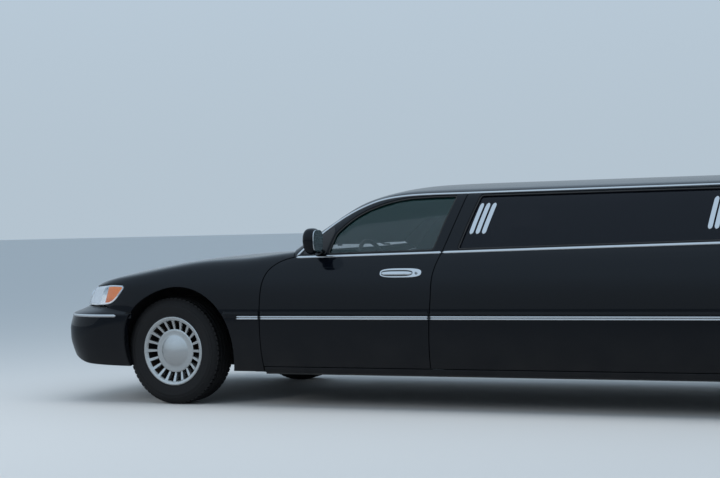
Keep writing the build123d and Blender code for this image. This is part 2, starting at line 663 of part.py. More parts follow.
def make_floor():
    front, rear = hood_rear_x - 40, rear_axle_x + 480
    pan_front = front_door_x - 6
    step_x = rear_axle_x + 760
    step_y = (boot_half - 54, boot_half - 40)
    pan = box(rear, pan_front, -door_inner_y + 5, door_inner_y - 5, *floor_z)
    pan += box(pan_front, front, -apron_y[0] + 8, apron_y[0] - 8, *floor_z)
    pan -= box(rear - 10, step_x, -step_y[1], step_y[1], 200, 300)
    pan += box(step_x - 14, step_x, -step_y[1], step_y[1], floor_z[0], boot_floor + 14)
    pan += box(rear_axle_x + 236, step_x, -step_y[1], step_y[1], boot_floor, boot_floor + 14)
    for side in (1, -1):
        sill = sorted((side * (door_inner_y - 75), side * (sill_half_width - 12)))
        pan += box(rear, pan_front, *sill, ride_height, rocker_top)
        pan += box(rear, pan_front, side * post_y[0], side * (post_y[1] - 5), ride_height, 340)
        pan += box(rear_axle_x + 236, step_x, side * step_y[0], side * step_y[1], floor_z[1], boot_floor)
        pan += box(rear, step_x, side * step_y[0], side * step_y[1], *floor_z)
    pan += box(step_x, front, -tunnel_half_width, tunnel_half_width, floor_z[1], tunnel_top)
    pan -= box(rear - 300, front + 50, -tunnel_half_width + 14, tunnel_half_width - 14, 200, tunnel_top - 14)
    nodes["floor_pan"] = solid_of(pan)

    kick, low, high = frame_kick_z, frame_rail_z, frame_front_z
    rail_line = [(rear_axle_x - 1250, kick), (rear_axle_x + 330, kick), (rear_axle_x + 640, low),
                 (front_axle_x - 620, low), (front_axle_x - 420, high), (front_axle_x + 830, high)]
    outline = rail_line + [(x, z + frame_rail_height) for x, z in reversed(rail_line)]
    frame = side_prism(outline, *frame_rail_y)
    frame += mirror_y(frame)
    crossmembers = [  # x, z
        (front_axle_x + 760, high), (front_axle_x - 760, low), (front_axle_x - 2400, low), (0.0, low),
        (rear_axle_x + 1000, low), (rear_axle_x - 1150, kick)]
    for x, z in crossmembers:
        frame += box(x - 40, x + 40, -frame_rail_y[0] - 20, frame_rail_y[0] + 20, z, z + frame_rail_height - 5)
    nodes["chassis_frame"] = solid_of(frame)


def make_cabin():
    wall_x = hood_rear_x - 66
    dash_y = door_inner_y - 105
    dash = side_prism([(wall_x, 640), (wall_x, lid_tray_z - 10), (wall_x - 50, 915), (wall_x - 170, 925),
                       (wall_x - 380, 890), (wall_x - 400, 780), (wall_x - 300, 640)], -dash_y, dash_y)
    column_y = 380.0
    hub = (wall_x - 560, column_y, 865)
    dash += rod((wall_x - 300, column_y, 780), hub, 22)
    axis = Vector(-260, 0, 85).normalized()
    ring_plane = Plane(origin=hub, z_dir=axis)
    ring = ring_plane * Torus(182, 14)
    dash += ring + ring_plane * Box(30, 364, 14) + ring_plane * Cylinder(48, 30)
    nodes["dashboard"] = solid_of(dash)

    seat_x, floor = front_axle_x - 1880, floor_z[1]
    seat = side_prism([(seat_x, floor), (seat_x + 480, floor), (seat_x + 540, 420), (seat_x + 520, 520),
                       (seat_x + 150, 480), (seat_x + 10, 1080), (seat_x - 90, 1080), (seat_x - 40, 520)],
                      150, door_inner_y - 185)
    nodes["front_seats"] = both(solid_of(seat))

    screen_x = stretch_front_x - 230
    block = box(screen_x - 15, screen_x + 15, -door_inner_y, door_inner_y, floor, 930)
    reach = box(screen_x - 50, screen_x + 50, -out, out, 0, 1500)
    partition = block + (cabin_block(frame_wall) & box(screen_x - 15, screen_x + 15, -out, out, floor, 1500))
    partition &= box(screen_x - 15, screen_x + 15, -door_inner_y, door_inner_y, floor, 1500)
    partition -= reach & box(-far, far, -560, 560, 900, 1240)
    partition -= reach & box(-far, far, -tunnel_half_width - 4, tunnel_half_width + 4, 0, tunnel_top + 2)
    for side in (1, -1):
        partition -= reach & box(-far, far, side * (post_y[0] - 4), side * out, 0, 344)
    nodes["partition"] = solid_of(partition)

    bench_x0, bench_x1 = stretch_rear_x + 260, stretch_front_x - 300
    back_y = 95 - door_inner_y
    bench = [(back_y, floor), (back_y + 480, floor), (back_y + 500, 500), (back_y + 140, 500),
             (back_y + 90, 930), (back_y, 930)]
    section = Plane.YZ.offset(bench_x0) * make_face(Polyline(*bench, close=True))
    bench = extrude(section, bench_x1 - bench_x0)
    rear_x, seat_z = rear_axle_x + 240, boot_floor + 14
    rear_y = boot_half - 50
    rear_bench = side_prism([(rear_x, seat_z), (rear_x + 520, seat_z), (rear_x + 545, seat_z + 86),
                             (rear_x + 230, seat_z + 66), (rear_x + 90, 1040), (rear_x, 1040)], -rear_y, rear_y)
    nodes["lounge_seats"] = [solid_of(bench), solid_of(rear_bench)]


def make_running_gear():
    x, z = front_axle_x, tyre_radius
    nodes["engine_block"] = box(x - 530, x + 260, -engine_half_width, engine_half_width, sump_z, 790)
    rail_in, rail_out = frame_rail_y
    arm_low, arm_high = (z - 137, z - 107), (z + 107, z + 137)
    arm_start = rail_in + 20
    rail_top = frame_front_z + frame_rail_height
    beam_z = z - 107
    carrier = box(x - 60, x + 60, -rail_out, rail_out, beam_z, sump_z)
    for side in (1, -1):
        arm_end = side * (kingpin_y - 10)
        carrier += box(x - 60, x + 60, side * rail_in, side * rail_out, sump_z, frame_front_z)
        carrier += box(x - 38, x + 38, side * arm_start, arm_end, *arm_low)
        carrier += box(x - 60, x + 60, side * rail_in, side * rail_out, arm_low[0], beam_z)
        carrier += box(x - 38, x + 38, side * arm_start, arm_end, *arm_high)
        carrier += box(x - 45, x + 45, side * arm_start, side * rail_out, rail_top, arm_high[0])
        for low, high in (arm_low, arm_high):
            carrier += Pos(x, side * kingpin_y, (low + high) / 2) * Cylinder(24, high - low)
            carrier -= Pos(x, side * kingpin_y, (low + high) / 2) * Cylinder(12 + pin_clearance, 60)
    nodes["front_suspension"] = solid_of(carrier)

    hub_end = track_front / 2 + 88
    for suffix, side in (("left", 1), ("right", -1)):
        knuckle = box(x - 30, x + 30, side * (kingpin_y - 20), side * (kingpin_y + 26), z - 105, z + 105)
        knuckle += Pos(x, side * kingpin_y, z) * Cylinder(12, 274)
        knuckle += rod((x, side * kingpin_y, z), (x, side * hub_end, z), spindle_radius)
        knuckle += rod((x, side * (kingpin_y + 30), z), (x, side * (kingpin_y + 46), z), brake_radius)
        nodes[f"knuckle_{suffix}"] = solid_of(knuckle)

    xr = rear_axle_x
    hub_end = track_rear / 2 + 88
    tube_end = track_rear / 2 - 65
    axle = rod((xr, -tube_end, z), (xr, tube_end, z), 36)
    axle += rod((xr, -hub_end, z), (xr, hub_end, z), spindle_radius)
    axle += rod((xr, -110, z), (xr, 110, z), 128)
    for side in (1, -1):
        spring_y = side * (rail_in + rail_out) / 2
        axle += rod((xr, side * tube_end, z), (xr, side * (tube_end + 40), z), brake_radius)
        axle += rod((xr, spring_y, z + 20), (xr, spring_y, frame_kick_z), 30)
    shaft_z = 296.0
    axle += rod((xr + 60, 0, shaft_z), (x - 530, 0, shaft_z), 30)
    nodes["rear_axle"] = solid_of(axle)

    y, pipe_radius, box_z = -boot_half + 120, 24.0, tyre_radius - 12
    over_axle = tyre_radius + 114
    route = [(x - 760, 205), (xr + 620, 205), (xr + 300, over_axle), (xr - 260, over_axle), (xr - 450, box_z),
             (xr - 1110, box_z), (xr - 1180, 258), (-length / 2 + 60, 258)]
    pipe = None
    for (x0, z0), (x1, z1) in zip(route, route[1:]):
        run = rod((x0, y, z0), (x1, y, z1), pipe_radius) + Pos(x1, y, z1) * Sphere(pipe_radius)
        pipe = run if pipe is None else pipe + run
    pipe += rod((xr - 520, y, box_z), (xr - 1100, y, box_z), 88)
    for hanger_x in (x - 1500, 0.0, xr + 900):
        pipe += box(hanger_x - 8, hanger_x + 8, y, -rail_out, 199, 211)
    hanger_x = xr - 800
    pipe += box(hanger_x, hanger_x + 16, y, -rail_out, frame_kick_z + 4, frame_kick_z + 16)
    pipe += box(hanger_x, hanger_x + 16, y - 6, y + 6, box_z, frame_kick_z + 16)
    nodes["exhaust"] = solid_of(pipe)
    tank_half = rail_in - 30
    nodes["fuel_tank"] = box(xr - 960, xr - 240, -tank_half, tank_half, boot_floor - 190, boot_floor)


def make_wheels():
    tyre = Cylinder(tyre_radius, tyre_width) - Cylinder(rim_radius, tyre_width)
    tyre = fillet(tyre.edges().filter_by(GeomType.CIRCLE).group_by(lambda e: round(e.radius))[-1], 34)
    wheel_width, barrel_wall = 190.0, 16.0
    for axle, x, track in (("front", front_axle_x, track_front), ("rear", rear_axle_x, track_rear)):
        for suffix, side in (("left", 1), ("right", -1)):
            turn = Pos(x, side * track / 2, tyre_radius) * Rot(-90 * side, 0, 0)
            disc = Cylinder(rim_radius, wheel_width) - Pos(0, 0, -24) * Cylinder(rim_radius - barrel_wall, 180)
            disc -= Pos(0, 0, -35) * Cylinder(spindle_radius + pin_clearance, 250)
            nodes[f"tyre_{axle}_{suffix}"] = turn * tyre
            nodes[f"wheel_{axle}_{suffix}"] = turn * disc


for make in (make_doors, make_front, make_engine_bay, make_roof, make_sides, make_rear, make_floor, make_cabin,
             make_running_gear, make_wheels):
    make()

os.makedirs("parts", exist_ok=True)
for name, shape in nodes.items():
    pieces = shape if isinstance(shape, list) else [shape]
    solids = [solid for piece in pieces for solid in piece.solids()]
    export_step(Compound(children=solids) if len(solids) > 1 else solids[0], f"parts/{name}.step")
print(len(nodes), "nodes")
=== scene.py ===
from itertools import product
import json
import math
import bpy
import numpy as np
from mathutils import Matrix, Vector
from mathutils.geometry import delaunay_2d_cdt


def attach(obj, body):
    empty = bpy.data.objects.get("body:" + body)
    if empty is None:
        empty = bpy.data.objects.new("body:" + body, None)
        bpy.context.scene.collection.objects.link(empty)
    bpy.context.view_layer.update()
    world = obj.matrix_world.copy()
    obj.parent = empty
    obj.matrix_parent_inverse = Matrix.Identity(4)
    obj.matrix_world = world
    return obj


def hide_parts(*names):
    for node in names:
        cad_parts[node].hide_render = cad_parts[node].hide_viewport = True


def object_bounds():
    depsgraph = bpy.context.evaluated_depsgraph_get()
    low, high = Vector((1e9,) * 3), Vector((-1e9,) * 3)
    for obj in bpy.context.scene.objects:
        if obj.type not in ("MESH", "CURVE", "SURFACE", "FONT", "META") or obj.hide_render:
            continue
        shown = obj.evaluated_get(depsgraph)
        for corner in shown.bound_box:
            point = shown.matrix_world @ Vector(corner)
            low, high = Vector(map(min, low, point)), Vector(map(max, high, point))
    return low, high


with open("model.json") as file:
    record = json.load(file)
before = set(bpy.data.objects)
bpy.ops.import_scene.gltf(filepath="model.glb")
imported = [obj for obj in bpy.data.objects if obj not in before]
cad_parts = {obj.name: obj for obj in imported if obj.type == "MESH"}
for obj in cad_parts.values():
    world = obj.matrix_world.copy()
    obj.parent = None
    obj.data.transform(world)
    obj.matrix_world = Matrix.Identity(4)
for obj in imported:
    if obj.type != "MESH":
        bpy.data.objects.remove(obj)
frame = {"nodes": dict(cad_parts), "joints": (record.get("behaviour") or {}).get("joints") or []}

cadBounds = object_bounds()
joints = {j["name"]: j["pos_m"] for j in frame["joints"] if "pos_m" in j}
frontAxle = np.array(joints["wheel_front_left_spin"])
noseX, tailX = cadBounds[1][0], cadBounds[0][0]
tyreRadius = frontAxle[2]
scene = bpy.context.scene
bothSides = (("left", 1), ("right", -1))


# Curves and the outer surface. X runs to the nose, Y to the car's left, Z up, in metres.

def curveOf(table):  # a smooth curve through (place, value) pairs, straight past its ends
    table = sorted(table)
    u, v = (np.array(column, float) for column in zip(*table))
    n, h = len(u), np.diff([row[0] for row in table])
    a, b = np.eye(n), np.zeros(n)
    for i in range(1, n - 1):
        a[i, i - 1:i + 2] = h[i - 1], 2 * (h[i - 1] + h[i]), h[i]
        b[i] = 6 * ((v[i + 1] - v[i]) / h[i] - (v[i] - v[i - 1]) / h[i - 1])
    m = np.linalg.solve(a, b)
    first = (v[1] - v[0]) / h[0] - h[0] * m[1] / 6
    last = (v[-1] - v[-2]) / h[-1] + h[-1] * m[-2] / 6

    def at(x):
        x = np.asarray(x, float)
        k = np.clip(np.searchsorted(u, x) - 1, 0, n - 2)
        p, q = (u[k + 1] - x) / h[k], (x - u[k]) / h[k]
        y = p * v[k] + q * v[k + 1] + ((p ** 3 - p) * m[k] + (q ** 3 - q) * m[k + 1]) * h[k] ** 2 / 6
        y = np.where(x < u[0], v[0] + (x - u[0]) * first, y)
        return np.where(x > u[-1], v[-1] + (x - u[-1]) * last, y)
    return at


def distances(points):  # how far along the line each point is
    return np.concatenate([[0], np.cumsum(np.linalg.norm(np.diff(points, axis=0), axis=1))])


def unit(rows):  # each row at length 1
    return rows / np.maximum(np.linalg.norm(rows, axis=1), 1e-9)[:, None]


def smoothLine(points, step=0.012):  # the same through points in a plane or in space
    points = np.array(points, float)
    along = distances(points)
    t = np.linspace(0, along[-1], max(int(along[-1] / step), 8))
    return np.column_stack([curveOf(list(zip(along, column)))(t) for column in points.T])


def straightLine(*points, step=0.02):
    runs = []
    for a, b in zip(points, points[1:]):
        a, b = np.array(a, float), np.array(b, float)
        runs.append(a + (b - a) * np.linspace(0, 1, max(int(np.linalg.norm(b - a) / step), 2))[:, None])
    return np.vstack(runs)


def rounded(value, power):  # a sine or cosine bent towards a rounded box
    return np.sign(value) * np.abs(value) ** power


def ease(t):
    t = np.clip(t, 0, 1)
    return t * t * (3 - 2 * t)


def smoothMax(a, b, k):
    h = np.maximum(k - np.abs(a - b), 0)
    return np.maximum(a, b) + h ** 3 / (6 * k * k)


bodyShape = {
    "flank": [(0.215, 0.93), (0.237, 0.938), (0.42, 0.98), (0.575, 0.9875), (0.745, 0.975), (0.89, 0.928),
              (0.978, 0.872), (1.02, 0.845)],  # height, half width
    "top": [(4.3, 0.64), (4.19, 0.7), (4.09, 0.752), (3.966, 0.806), (3.842, 0.846), (3.671, 0.887),
            (3.502, 0.914), (3.294, 0.938), (3.09, 0.955), (2.9, 0.965), (2.723, 0.972), (2.5, 0.982), (2.3, 0.993),
            (2.1, 1.002), (1.8, 1.007), (1.4, 1.008), (0.5, 1.008), (-2.0, 1.008), (-2.6, 1.008), (-2.9, 1.009),
            (-3.2, 1.01), (-3.6, 1.0), (-3.95, 0.981), (-4.15, 0.955), (-4.3, 0.92)],  # station, height
    "shoulderRound": 0.1, "endRound": 0.06, "widest": 0.995,
    "endInset": 0.072, "frontReach": 0.95, "frontFull": 2.8, "frontLean": 0.45, "frontLeanFrom": 0.66,
    "rearReach": 0.8, "rearFull": 3.4, "rearLean": 0.25, "rearLeanFrom": 0.7,
    "cabin": [(0.9, 0.906), (0.978, 0.868), (1.15, 0.776), (1.334, 0.652)],
    "roofTop": cadBounds[1][2], "roofRise": 0.0115, "roofCrown": 0.107, "roofRound": 0.1, "screenRound": 0.085,
    "screenBase": 2.388, "screenBow": 0.17, "screenRake": 1.65, "glassBase": -3.14, "glassBow": 0.07,
    "glassRake": 1.675, "beltHeight": 0.978, "screenHalf": 0.76}

flankAt, topAt, cabinAt = (curveOf(bodyShape[key]) for key in ("flank", "top", "cabin"))
roofFall = curveOf([(-0.9, 0), (-0.7, 0.0), (-0.5, 0.0), (-0.25, 0.002), (-0.02, 0.015), (0.06, 0.028)])


def endsField(x, y, front, rear, frontReach, frontFull, rearReach, rearFull):
    wide = bodyShape["widest"]
    result = None
    for distance, reach, full in ((x - front + frontReach, frontReach, frontFull),
                                  (-x - rear + rearReach, rearReach, rearFull)):
        q = np.maximum(distance / reach, 0)
        value = wide * ((q ** full + (np.abs(y) / wide) ** full) ** (1 / full) - 1)
        result = value if result is None else np.maximum(result, value)
    return result


def bodyField(p):
    s, (x, y, z) = bodyShape, p.T
    crown = 0.025 * ease((x - 2.25) / 0.5) + 0.04 * ease((x - 2.9) / 0.7) + 0.03 * ease((-2.7 - x) / 0.4)
    top = z - (topAt(x) - crown * y * y)
    front = noseX - s["endInset"] - np.maximum(z - s["frontLeanFrom"], 0) * s["frontLean"]
    rear = -tailX - s["endInset"] - np.maximum(z - s["rearLeanFrom"], 0) * s["rearLean"]
    ends = endsField(x, y, front, rear, s["frontReach"], s["frontFull"], s["rearReach"], s["rearFull"])
    return smoothMax(smoothMax(np.abs(y) - flankAt(z), top, s["shoulderRound"]), ends, s["endRound"])


def bumperField(p):
    x, y, z = p.T
    tuck = 0.9 * np.maximum(0.44 - z, 0) ** 1.5 + 0.7 * np.maximum(z - 0.5, 0) ** 1.3
    ends = endsField(x, y, noseX - 0.001 - tuck, -tailX - 0.001 - tuck, 0.8, 3.6, 0.8, 3.6)
    return smoothMax(np.abs(y) - flankAt(z), ends, 0.03)


def cabinField(p):
    s, (x, y, z) = bodyShape, p.T
    up = z - s["beltHeight"]
    bow = 1 - (y / s["screenHalf"]) ** 2
    screenRake, glassRake = s["screenRake"], s["glassRake"]
    screen = (x - s["screenBase"] - s["screenBow"] * bow + up * screenRake) / math.hypot(1, screenRake)
    glass = (s["glassBase"] - s["glassBow"] * bow + up * glassRake - x) / math.hypot(1, glassRake)
    frontTop = s["screenBase"] - 0.65
    rearTop = s["glassBase"] + 0.66
    fall = roofFall(np.clip(x - frontTop, -0.9, 0.3)) + roofFall(np.clip(rearTop - x, -0.9, 0.3))
    low = s["roofRise"] * np.where(x > -2.3, ease((x + 2.3) / 1.1), 0)
    low = np.maximum(low, s["roofRise"] * ease(np.abs(y) / 0.6))
    roof = z - (s["roofTop"] - 0.001 - low - s["roofCrown"] * y * y - np.maximum(fall, 0))
    walls = smoothMax(np.abs(y) - cabinAt(z), screen, s["roofRound"])
    walls = smoothMax(walls, glass, s["roofRound"])
    return smoothMax(walls, roof, s["screenRound"])


def skinField(p):
    return np.minimum(bodyField(p), np.maximum(cabinField(p), 0.9 - p[:, 2]))


def slopeOf(field, p, h=0.0015):
    return unit(np.column_stack([field(p + e) - field(p - e) for e in np.eye(3) * h]))


def trace(field, origin, direction, near, far):  # where rays from the inside or above meet the surface
    lo, hi = np.full(len(origin), near), np.full(len(origin), far)
    start = np.sign(field(origin + direction * near))
    for _ in range(30):
        mid = (lo + hi) / 2
        same = np.sign(field(origin + direction * mid[:, None])) == start
        lo, hi = np.where(same, mid, lo), np.where(same, hi, mid)
    return origin + direction * ((lo + hi) / 2)[:, None]


# A view flattens part of the surface to (u, v), where outlines are drawn and filled.

def sideView(field):
    def cast(q):
        zero = np.zeros(len(q))
        return trace(field, np.column_stack([q[:, 0], zero, q[:, 1]]), np.array([0.0, 1, 0]), 0.2, 1.2)
    return {"cast": cast, "flat": lambda p: p[:, [0, 2]], "scale": (1, 1), "field": field}


def topView(field):
    def cast(q):
        return trace(field, np.column_stack([q, np.full(len(q), 1.6)]), np.array([0.0, 0, -1]), 0.0, 1.1)
    return {"cast": cast, "flat": lambda p: p[:, :2], "scale": (1, 1), "field": field}


def sectionView(field, y=0.62, z=0.6):
    def cast(q):
        n, a = len(q), q[:, 1]
        direction = np.column_stack([np.zeros(n), np.cos(a), np.sin(a)])
        return trace(field, np.column_stack([q[:, 0], np.full(n, y), np.full(n, z)]), direction, 0.01, 0.95)
    flat = lambda p: np.column_stack([p[:, 0], np.arctan2(p[:, 2] - z, p[:, 1] - y)])
    return {"cast": cast, "flat": flat, "scale": (1, 0.36), "field": field}


def archView(field, x, z):
    def cast(q):
        n, a = len(q), q[:, 1]
        direction = np.column_stack([np.cos(a), np.zeros(n), np.sin(a)])
        return trace(field, np.column_stack([np.full(n, x), q[:, 0], np.full(n, z)]), direction, 0.1, 1.4)
    flat = lambda p: np.column_stack([p[:, 1], np.arctan2(p[:, 2] - z, p[:, 0] - x)])
    return {"cast": cast, "flat": flat, "scale": (1, 0.8), "field": field}


def endView(field, sign):
    def cast(q):
        n, a = len(q), q[:, 0]
        direction = np.column_stack([sign * np.cos(a), np.sin(a), np.zeros(n)])
        origin = np.column_stack([np.full(n, sign * 3.0), np.zeros(n), q[:, 1]])
        return trace(field, origin, direction, 0.2, 1.6)
    flat = lambda p: np.column_stack([np.arctan2(p[:, 1], sign * (p[:, 0] - sign * 3.0)), p[:, 2]])
    return {"cast": cast, "flat": flat, "scale": (1.1, 1), "field": field}


side, top = sideView(skinField), topView(skinField)
bodySide, bodyTop = sideView(bodyField), topView(bodyField)
section, bodySection = sectionView(skinField), sectionView(bodyField)
hoodView, lidView = archView(bodyField, 3.3, 0.3), archView(bodyField, -3.6, 0.3)
noseView, tailView = endView(bodyField, 1), endView(bodyField, -1)
bumperFront, bumperRear = endView(bumperField, 1), endView(bumperField, -1)


# Meshes. A shape is a dictionary of points, faces, corner normals and material numbers.

def newShape():
    return {"points": [], "faces": [], "normals": [], "index": []}


def addPoints(shape, points):
    start = len(shape["points"])
    shape["points"].extend(map(tuple, points))
    return start


def addFace(shape, corners, normals=None, index=0):
    shape["faces"].append(tuple(int(c) for c in corners))
    shape["normals"].append([(0.0, 0.0, 0.0)] * len(corners) if normals is None else [tuple(n) for n in normals])
    shape["index"].append(index)


def mirrored(shape, keep=True):  # the other half of the car, with this half or alone
    flip = lambda rows: [(x, -y, z) for x, y, z in rows]
    result = joined(shape) if keep else newShape()
    start = addPoints(result, flip(shape["points"]))
    for face, normals, index in zip(shape["faces"], shape["normals"], shape["index"]):
        result["faces"].append(tuple(start + c for c in face[::-1]))
        result["normals"].append(flip(normals)[::-1])
        result["index"].append(index)
    return result


def sided(shape, sign):  # a shape drawn on the left, for the side that sign gives
    return shape if sign > 0 else mirrored(shape, keep=False)


def moved(shape, change):
    shape["points"] = [tuple(change(p)) for p in shape["points"]]
    return shape


def facingX(shape, spot):  # a lathed shape turned to look along x, at a spot
    return moved(shape, lambda p: (spot[0] + p[1], spot[1] + p[0], spot[2] + p[2]))


def joined(*shapes):
    result = newShape()
    for shape in shapes:
        start = addPoints(result, shape["points"])
        result["faces"] += [tuple(start + c for c in face) for face in shape["faces"]]
        result["normals"] += shape["normals"]
        result["index"] += shape["index"]
    return result


def ribbon(shape, a, b, n, index=0, closed=True):  # faces between two rows of n points that start at a and b
    for i in range(n if closed else n - 1):
        j = (i + 1) % n
        addFace(shape, (a + i, a + j, b + j, b + i), index=index)


def meshOf(name, shape, sharp=32):
    mesh = bpy.data.meshes.new(name)
    mesh.from_pydata(shape["points"], [], shape["faces"])
    mesh.polygons.foreach_set("use_smooth", [True] * len(mesh.polygons))
    mesh.polygons.foreach_set("material_index", shape["index"])
    corners = np.array([n for face in shape["normals"] for n in face], float)
    given = np.abs(corners).sum(axis=1) > 0.5
    mesh.update()
    if not given.all():
        mesh.set_sharp_from_angle(angle=math.radians(sharp))
    if given.any():
        mesh.normals_split_custom_set(corners.tolist())
    return mesh


def place(name, shape, materials, body="car_body", finish=None, stands=(), sharp=32):
    mesh = shape if isinstance(shape, bpy.types.Mesh) else meshOf(name, shape, sharp)
    mesh.name = name
    obj = bpy.data.objects.new(name, mesh)
    scene.collection.objects.link(obj)
    if len(mesh.materials):
        mesh.materials.clear()
    for m in materials if isinstance(materials, (list, tuple)) else [materials]:
        mesh.materials.append(m)
    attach(obj, body)
    if stands:
        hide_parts(*stands)
    return obj


def resample(loop, step, bend=22):  # even steps round a closed outline, with its corners kept
    loop = loop[np.linalg.norm(loop - np.roll(loop, 1, axis=0), axis=1) > 1e-5]
    before, after = loop - np.roll(loop, 1, axis=0), np.roll(loop, -1, axis=0) - loop
    turn = np.arctan2(before[:, 0] * after[:, 1] - before[:, 1] * after[:, 0], (before * after).sum(axis=1))
    corners = np.flatnonzero(np.abs(turn) > math.radians(bend))
    if not len(corners):
        corners = np.array([0])
    loop = np.roll(loop, -corners[0], axis=0)
    corners = list(corners - corners[0]) + [len(loop)]
    closed = np.vstack([loop, loop[:1]])
    result = []
    for a, b in zip(corners, corners[1:]):
        run = closed[a:b + 1]
        along = distances(run)
        t = np.linspace(0, along[-1], max(int(round(along[-1] / step)), 1) + 1)[:-1]
        result.append(np.column_stack([np.interp(t, along, run[:, i]) for i in (0, 1)]))
    return np.vstack(result)


def areaOf(loop):
    x, y = loop.T
    return 0.5 * np.sum(x * np.roll(y, -1) - y * np.roll(x, -1))


def shrink(loop, distance):  # move a loop to the left of its direction
    before = loop - np.roll(loop, 1, axis=0)
    after = np.roll(loop, -1, axis=0) - loop
    left = [unit(np.column_stack([-e[:, 1], e[:, 0]])) for e in (before, after)]
    mean = unit(left[0] + left[1])
    reach = 1 / np.maximum((mean * left[0]).sum(axis=1), 0.5)
    return loop + mean * (reach * distance)[:, None]


def insideOf(loop, q):
    inside = np.zeros(len(q), bool)
    for (x0, y0), (x1, y1) in zip(loop, np.roll(loop, -1, axis=0)):
        if y0 != y1:
            cross = (y0 > q[:, 1]) != (y1 > q[:, 1])
            inside ^= cross & (q[:, 0] < (x1 - x0) * (q[:, 1] - y0) / (y1 - y0) + x0)
    return inside


def farFrom(loop, q, distance):
    keep = np.ones(len(q), bool)
    for a, b in zip(loop, np.roll(loop, -1, axis=0)):
        e = b - a
        t = np.clip(((q - a) @ e) / max(e @ e, 1e-12), 0, 1)
        keep &= np.linalg.norm(q - a - t[:, None] * e, axis=1) > distance
    return keep


def fillLoops(loops, step):  # triangles between an outline and its holes
    outer, holes = loops[0], loops[1:]
    low, high = outer.min(axis=0), outer.max(axis=0)
    xs, ys = (np.arange(low[i], high[i] + step, step * (1, 0.866)[i]) for i in (0, 1))
    grid = np.array([(x + (step / 2 if j % 2 else 0), y) for j, y in enumerate(ys) for x in xs])
    grid = grid[insideOf(outer, grid)]
    for hole in holes:
        grid = grid[~insideOf(hole, grid)]
    for loop in loops:
        grid = grid[farFrom(loop, grid, step * 0.45)]
    points = np.vstack(loops + [grid])
    edges, start = [], 0
    for loop in loops:
        n = len(loop)
        edges += [(start + i, start + (i + 1) % n) for i in range(n)]
        start += n
    found = delaunay_2d_cdt([Vector(p) for p in points], edges, [], 0, 1e-7)
    origin = [source[0] if source else -1 for source in found[3]]
    faces = [[origin[c] for c in face] for face in found[2]]
    faces = np.array([face for face in faces if min(face) >= 0 and len(set(face)) == 3])
    middle = points[faces].mean(axis=1)
    good = insideOf(outer, middle)
    for hole in holes:
        good &= ~insideOf(hole, middle)
    return points, faces[good]


def evenly(points, faces):  # every triangle turned the same way round
    a, b = points[faces[:, 1]] - points[faces[:, 0]], points[faces[:, 2]] - points[faces[:, 0]]
    back = a[:, 0] * b[:, 1] < a[:, 1] * b[:, 0]
    faces = faces.copy()
    faces[back] = faces[back][:, ::-1]
    return faces


def panel(view, loop, holes=(), rim=0.003, thick=0.008, gap=0.0022, step=0.03, edge=0.016, sink=0.0, index=(0, 1)):
    # a closed sheet with rounded edges that follows the surface, between an outline and holes
    scale = np.array(view["scale"])
    starts, rows = [], []
    for k, ring in enumerate([loop] + list(holes)):
        ring = resample(np.array(ring, float) * scale, edge)
        if (areaOf(ring) > 0) == (k > 0):
            ring = ring[::-1]
        outline = shrink(ring, gap)
        starts.append((outline, shrink(outline, rim)))
    points, faces = fillLoops([inner for _, inner in starts], step)
    faces = evenly(points, faces)
    cast = lambda q: view["cast"](q / scale)
    skin = cast(points)
    normals = slopeOf(view["field"], skin)
    skin = skin - normals * sink
    facing = np.cross(skin[faces[:, 1]] - skin[faces[:, 0]], skin[faces[:, 2]] - skin[faces[:, 0]])
    turned = (facing * normals[faces[:, 0]]).sum() < 0
    shape = newShape()
    first = addPoints(shape, skin)
    under = skin - normals * thick
    offset = 0
    for outline, inner in starts:
        n = len(outline)
        ends, begins = cast(outline), cast(inner)
        up = slopeOf(view["field"], begins)
        away = ends - begins
        away = unit(away - up * (away * up).sum(axis=1)[:, None])
        ring = [(first + offset + np.arange(n), up)]
        for angle in (math.radians(45), 0):
            spot = cast(inner + (outline - inner) * math.cos(angle))
            spot = spot - slopeOf(view["field"], spot) * (rim * (1 - math.sin(angle)) + sink)
            ring.append((addPoints(shape, spot) + np.arange(n), up * math.sin(angle) + away * math.cos(angle)))
        deep = ends - slopeOf(view["field"], ends) * (thick + sink)
        under[offset:offset + n] = deep
        ring.append((None, away))
        rows.append((offset, n, ring))
        offset += n
    below = addPoints(shape, under)
    for offset, n, ring in rows:
        ring[-1] = (below + offset + np.arange(n), ring[-1][1])
        for (a, na), (b, nb) in zip(ring, ring[1:]):
            for i in range(n):
                j = (i + 1) % n
                corners, shade = (a[i], b[i], b[j], a[j]), (na[i], nb[i], nb[j], na[j])
                if turned:
                    corners, shade = corners[::-1], shade[::-1]
                addFace(shape, corners, shade, index[0])
    for face in faces:
        face = face[::-1] if turned else face
        addFace(shape, first + face, normals[face], index[0])
        addFace(shape, below + face[::-1], -normals[face[::-1]], index[1])
    return shape


def sheet(view, loop, holes=(), **settings):  # a panel that fills its outline, in one material
    return panel(view, loop, holes, gap=0.0, index=(0, 0), **settings)


def bothHalves(half, flip=(-1, 1)):  # a whole outline from the half that starts and ends on the middle line
    return np.vstack([half, (half * flip)[-2:0:-1]])


def outline(view, *seams):  # lines on the surface joined to one outline in a view
    return np.vstack([view["flat"](s) for s in seams])


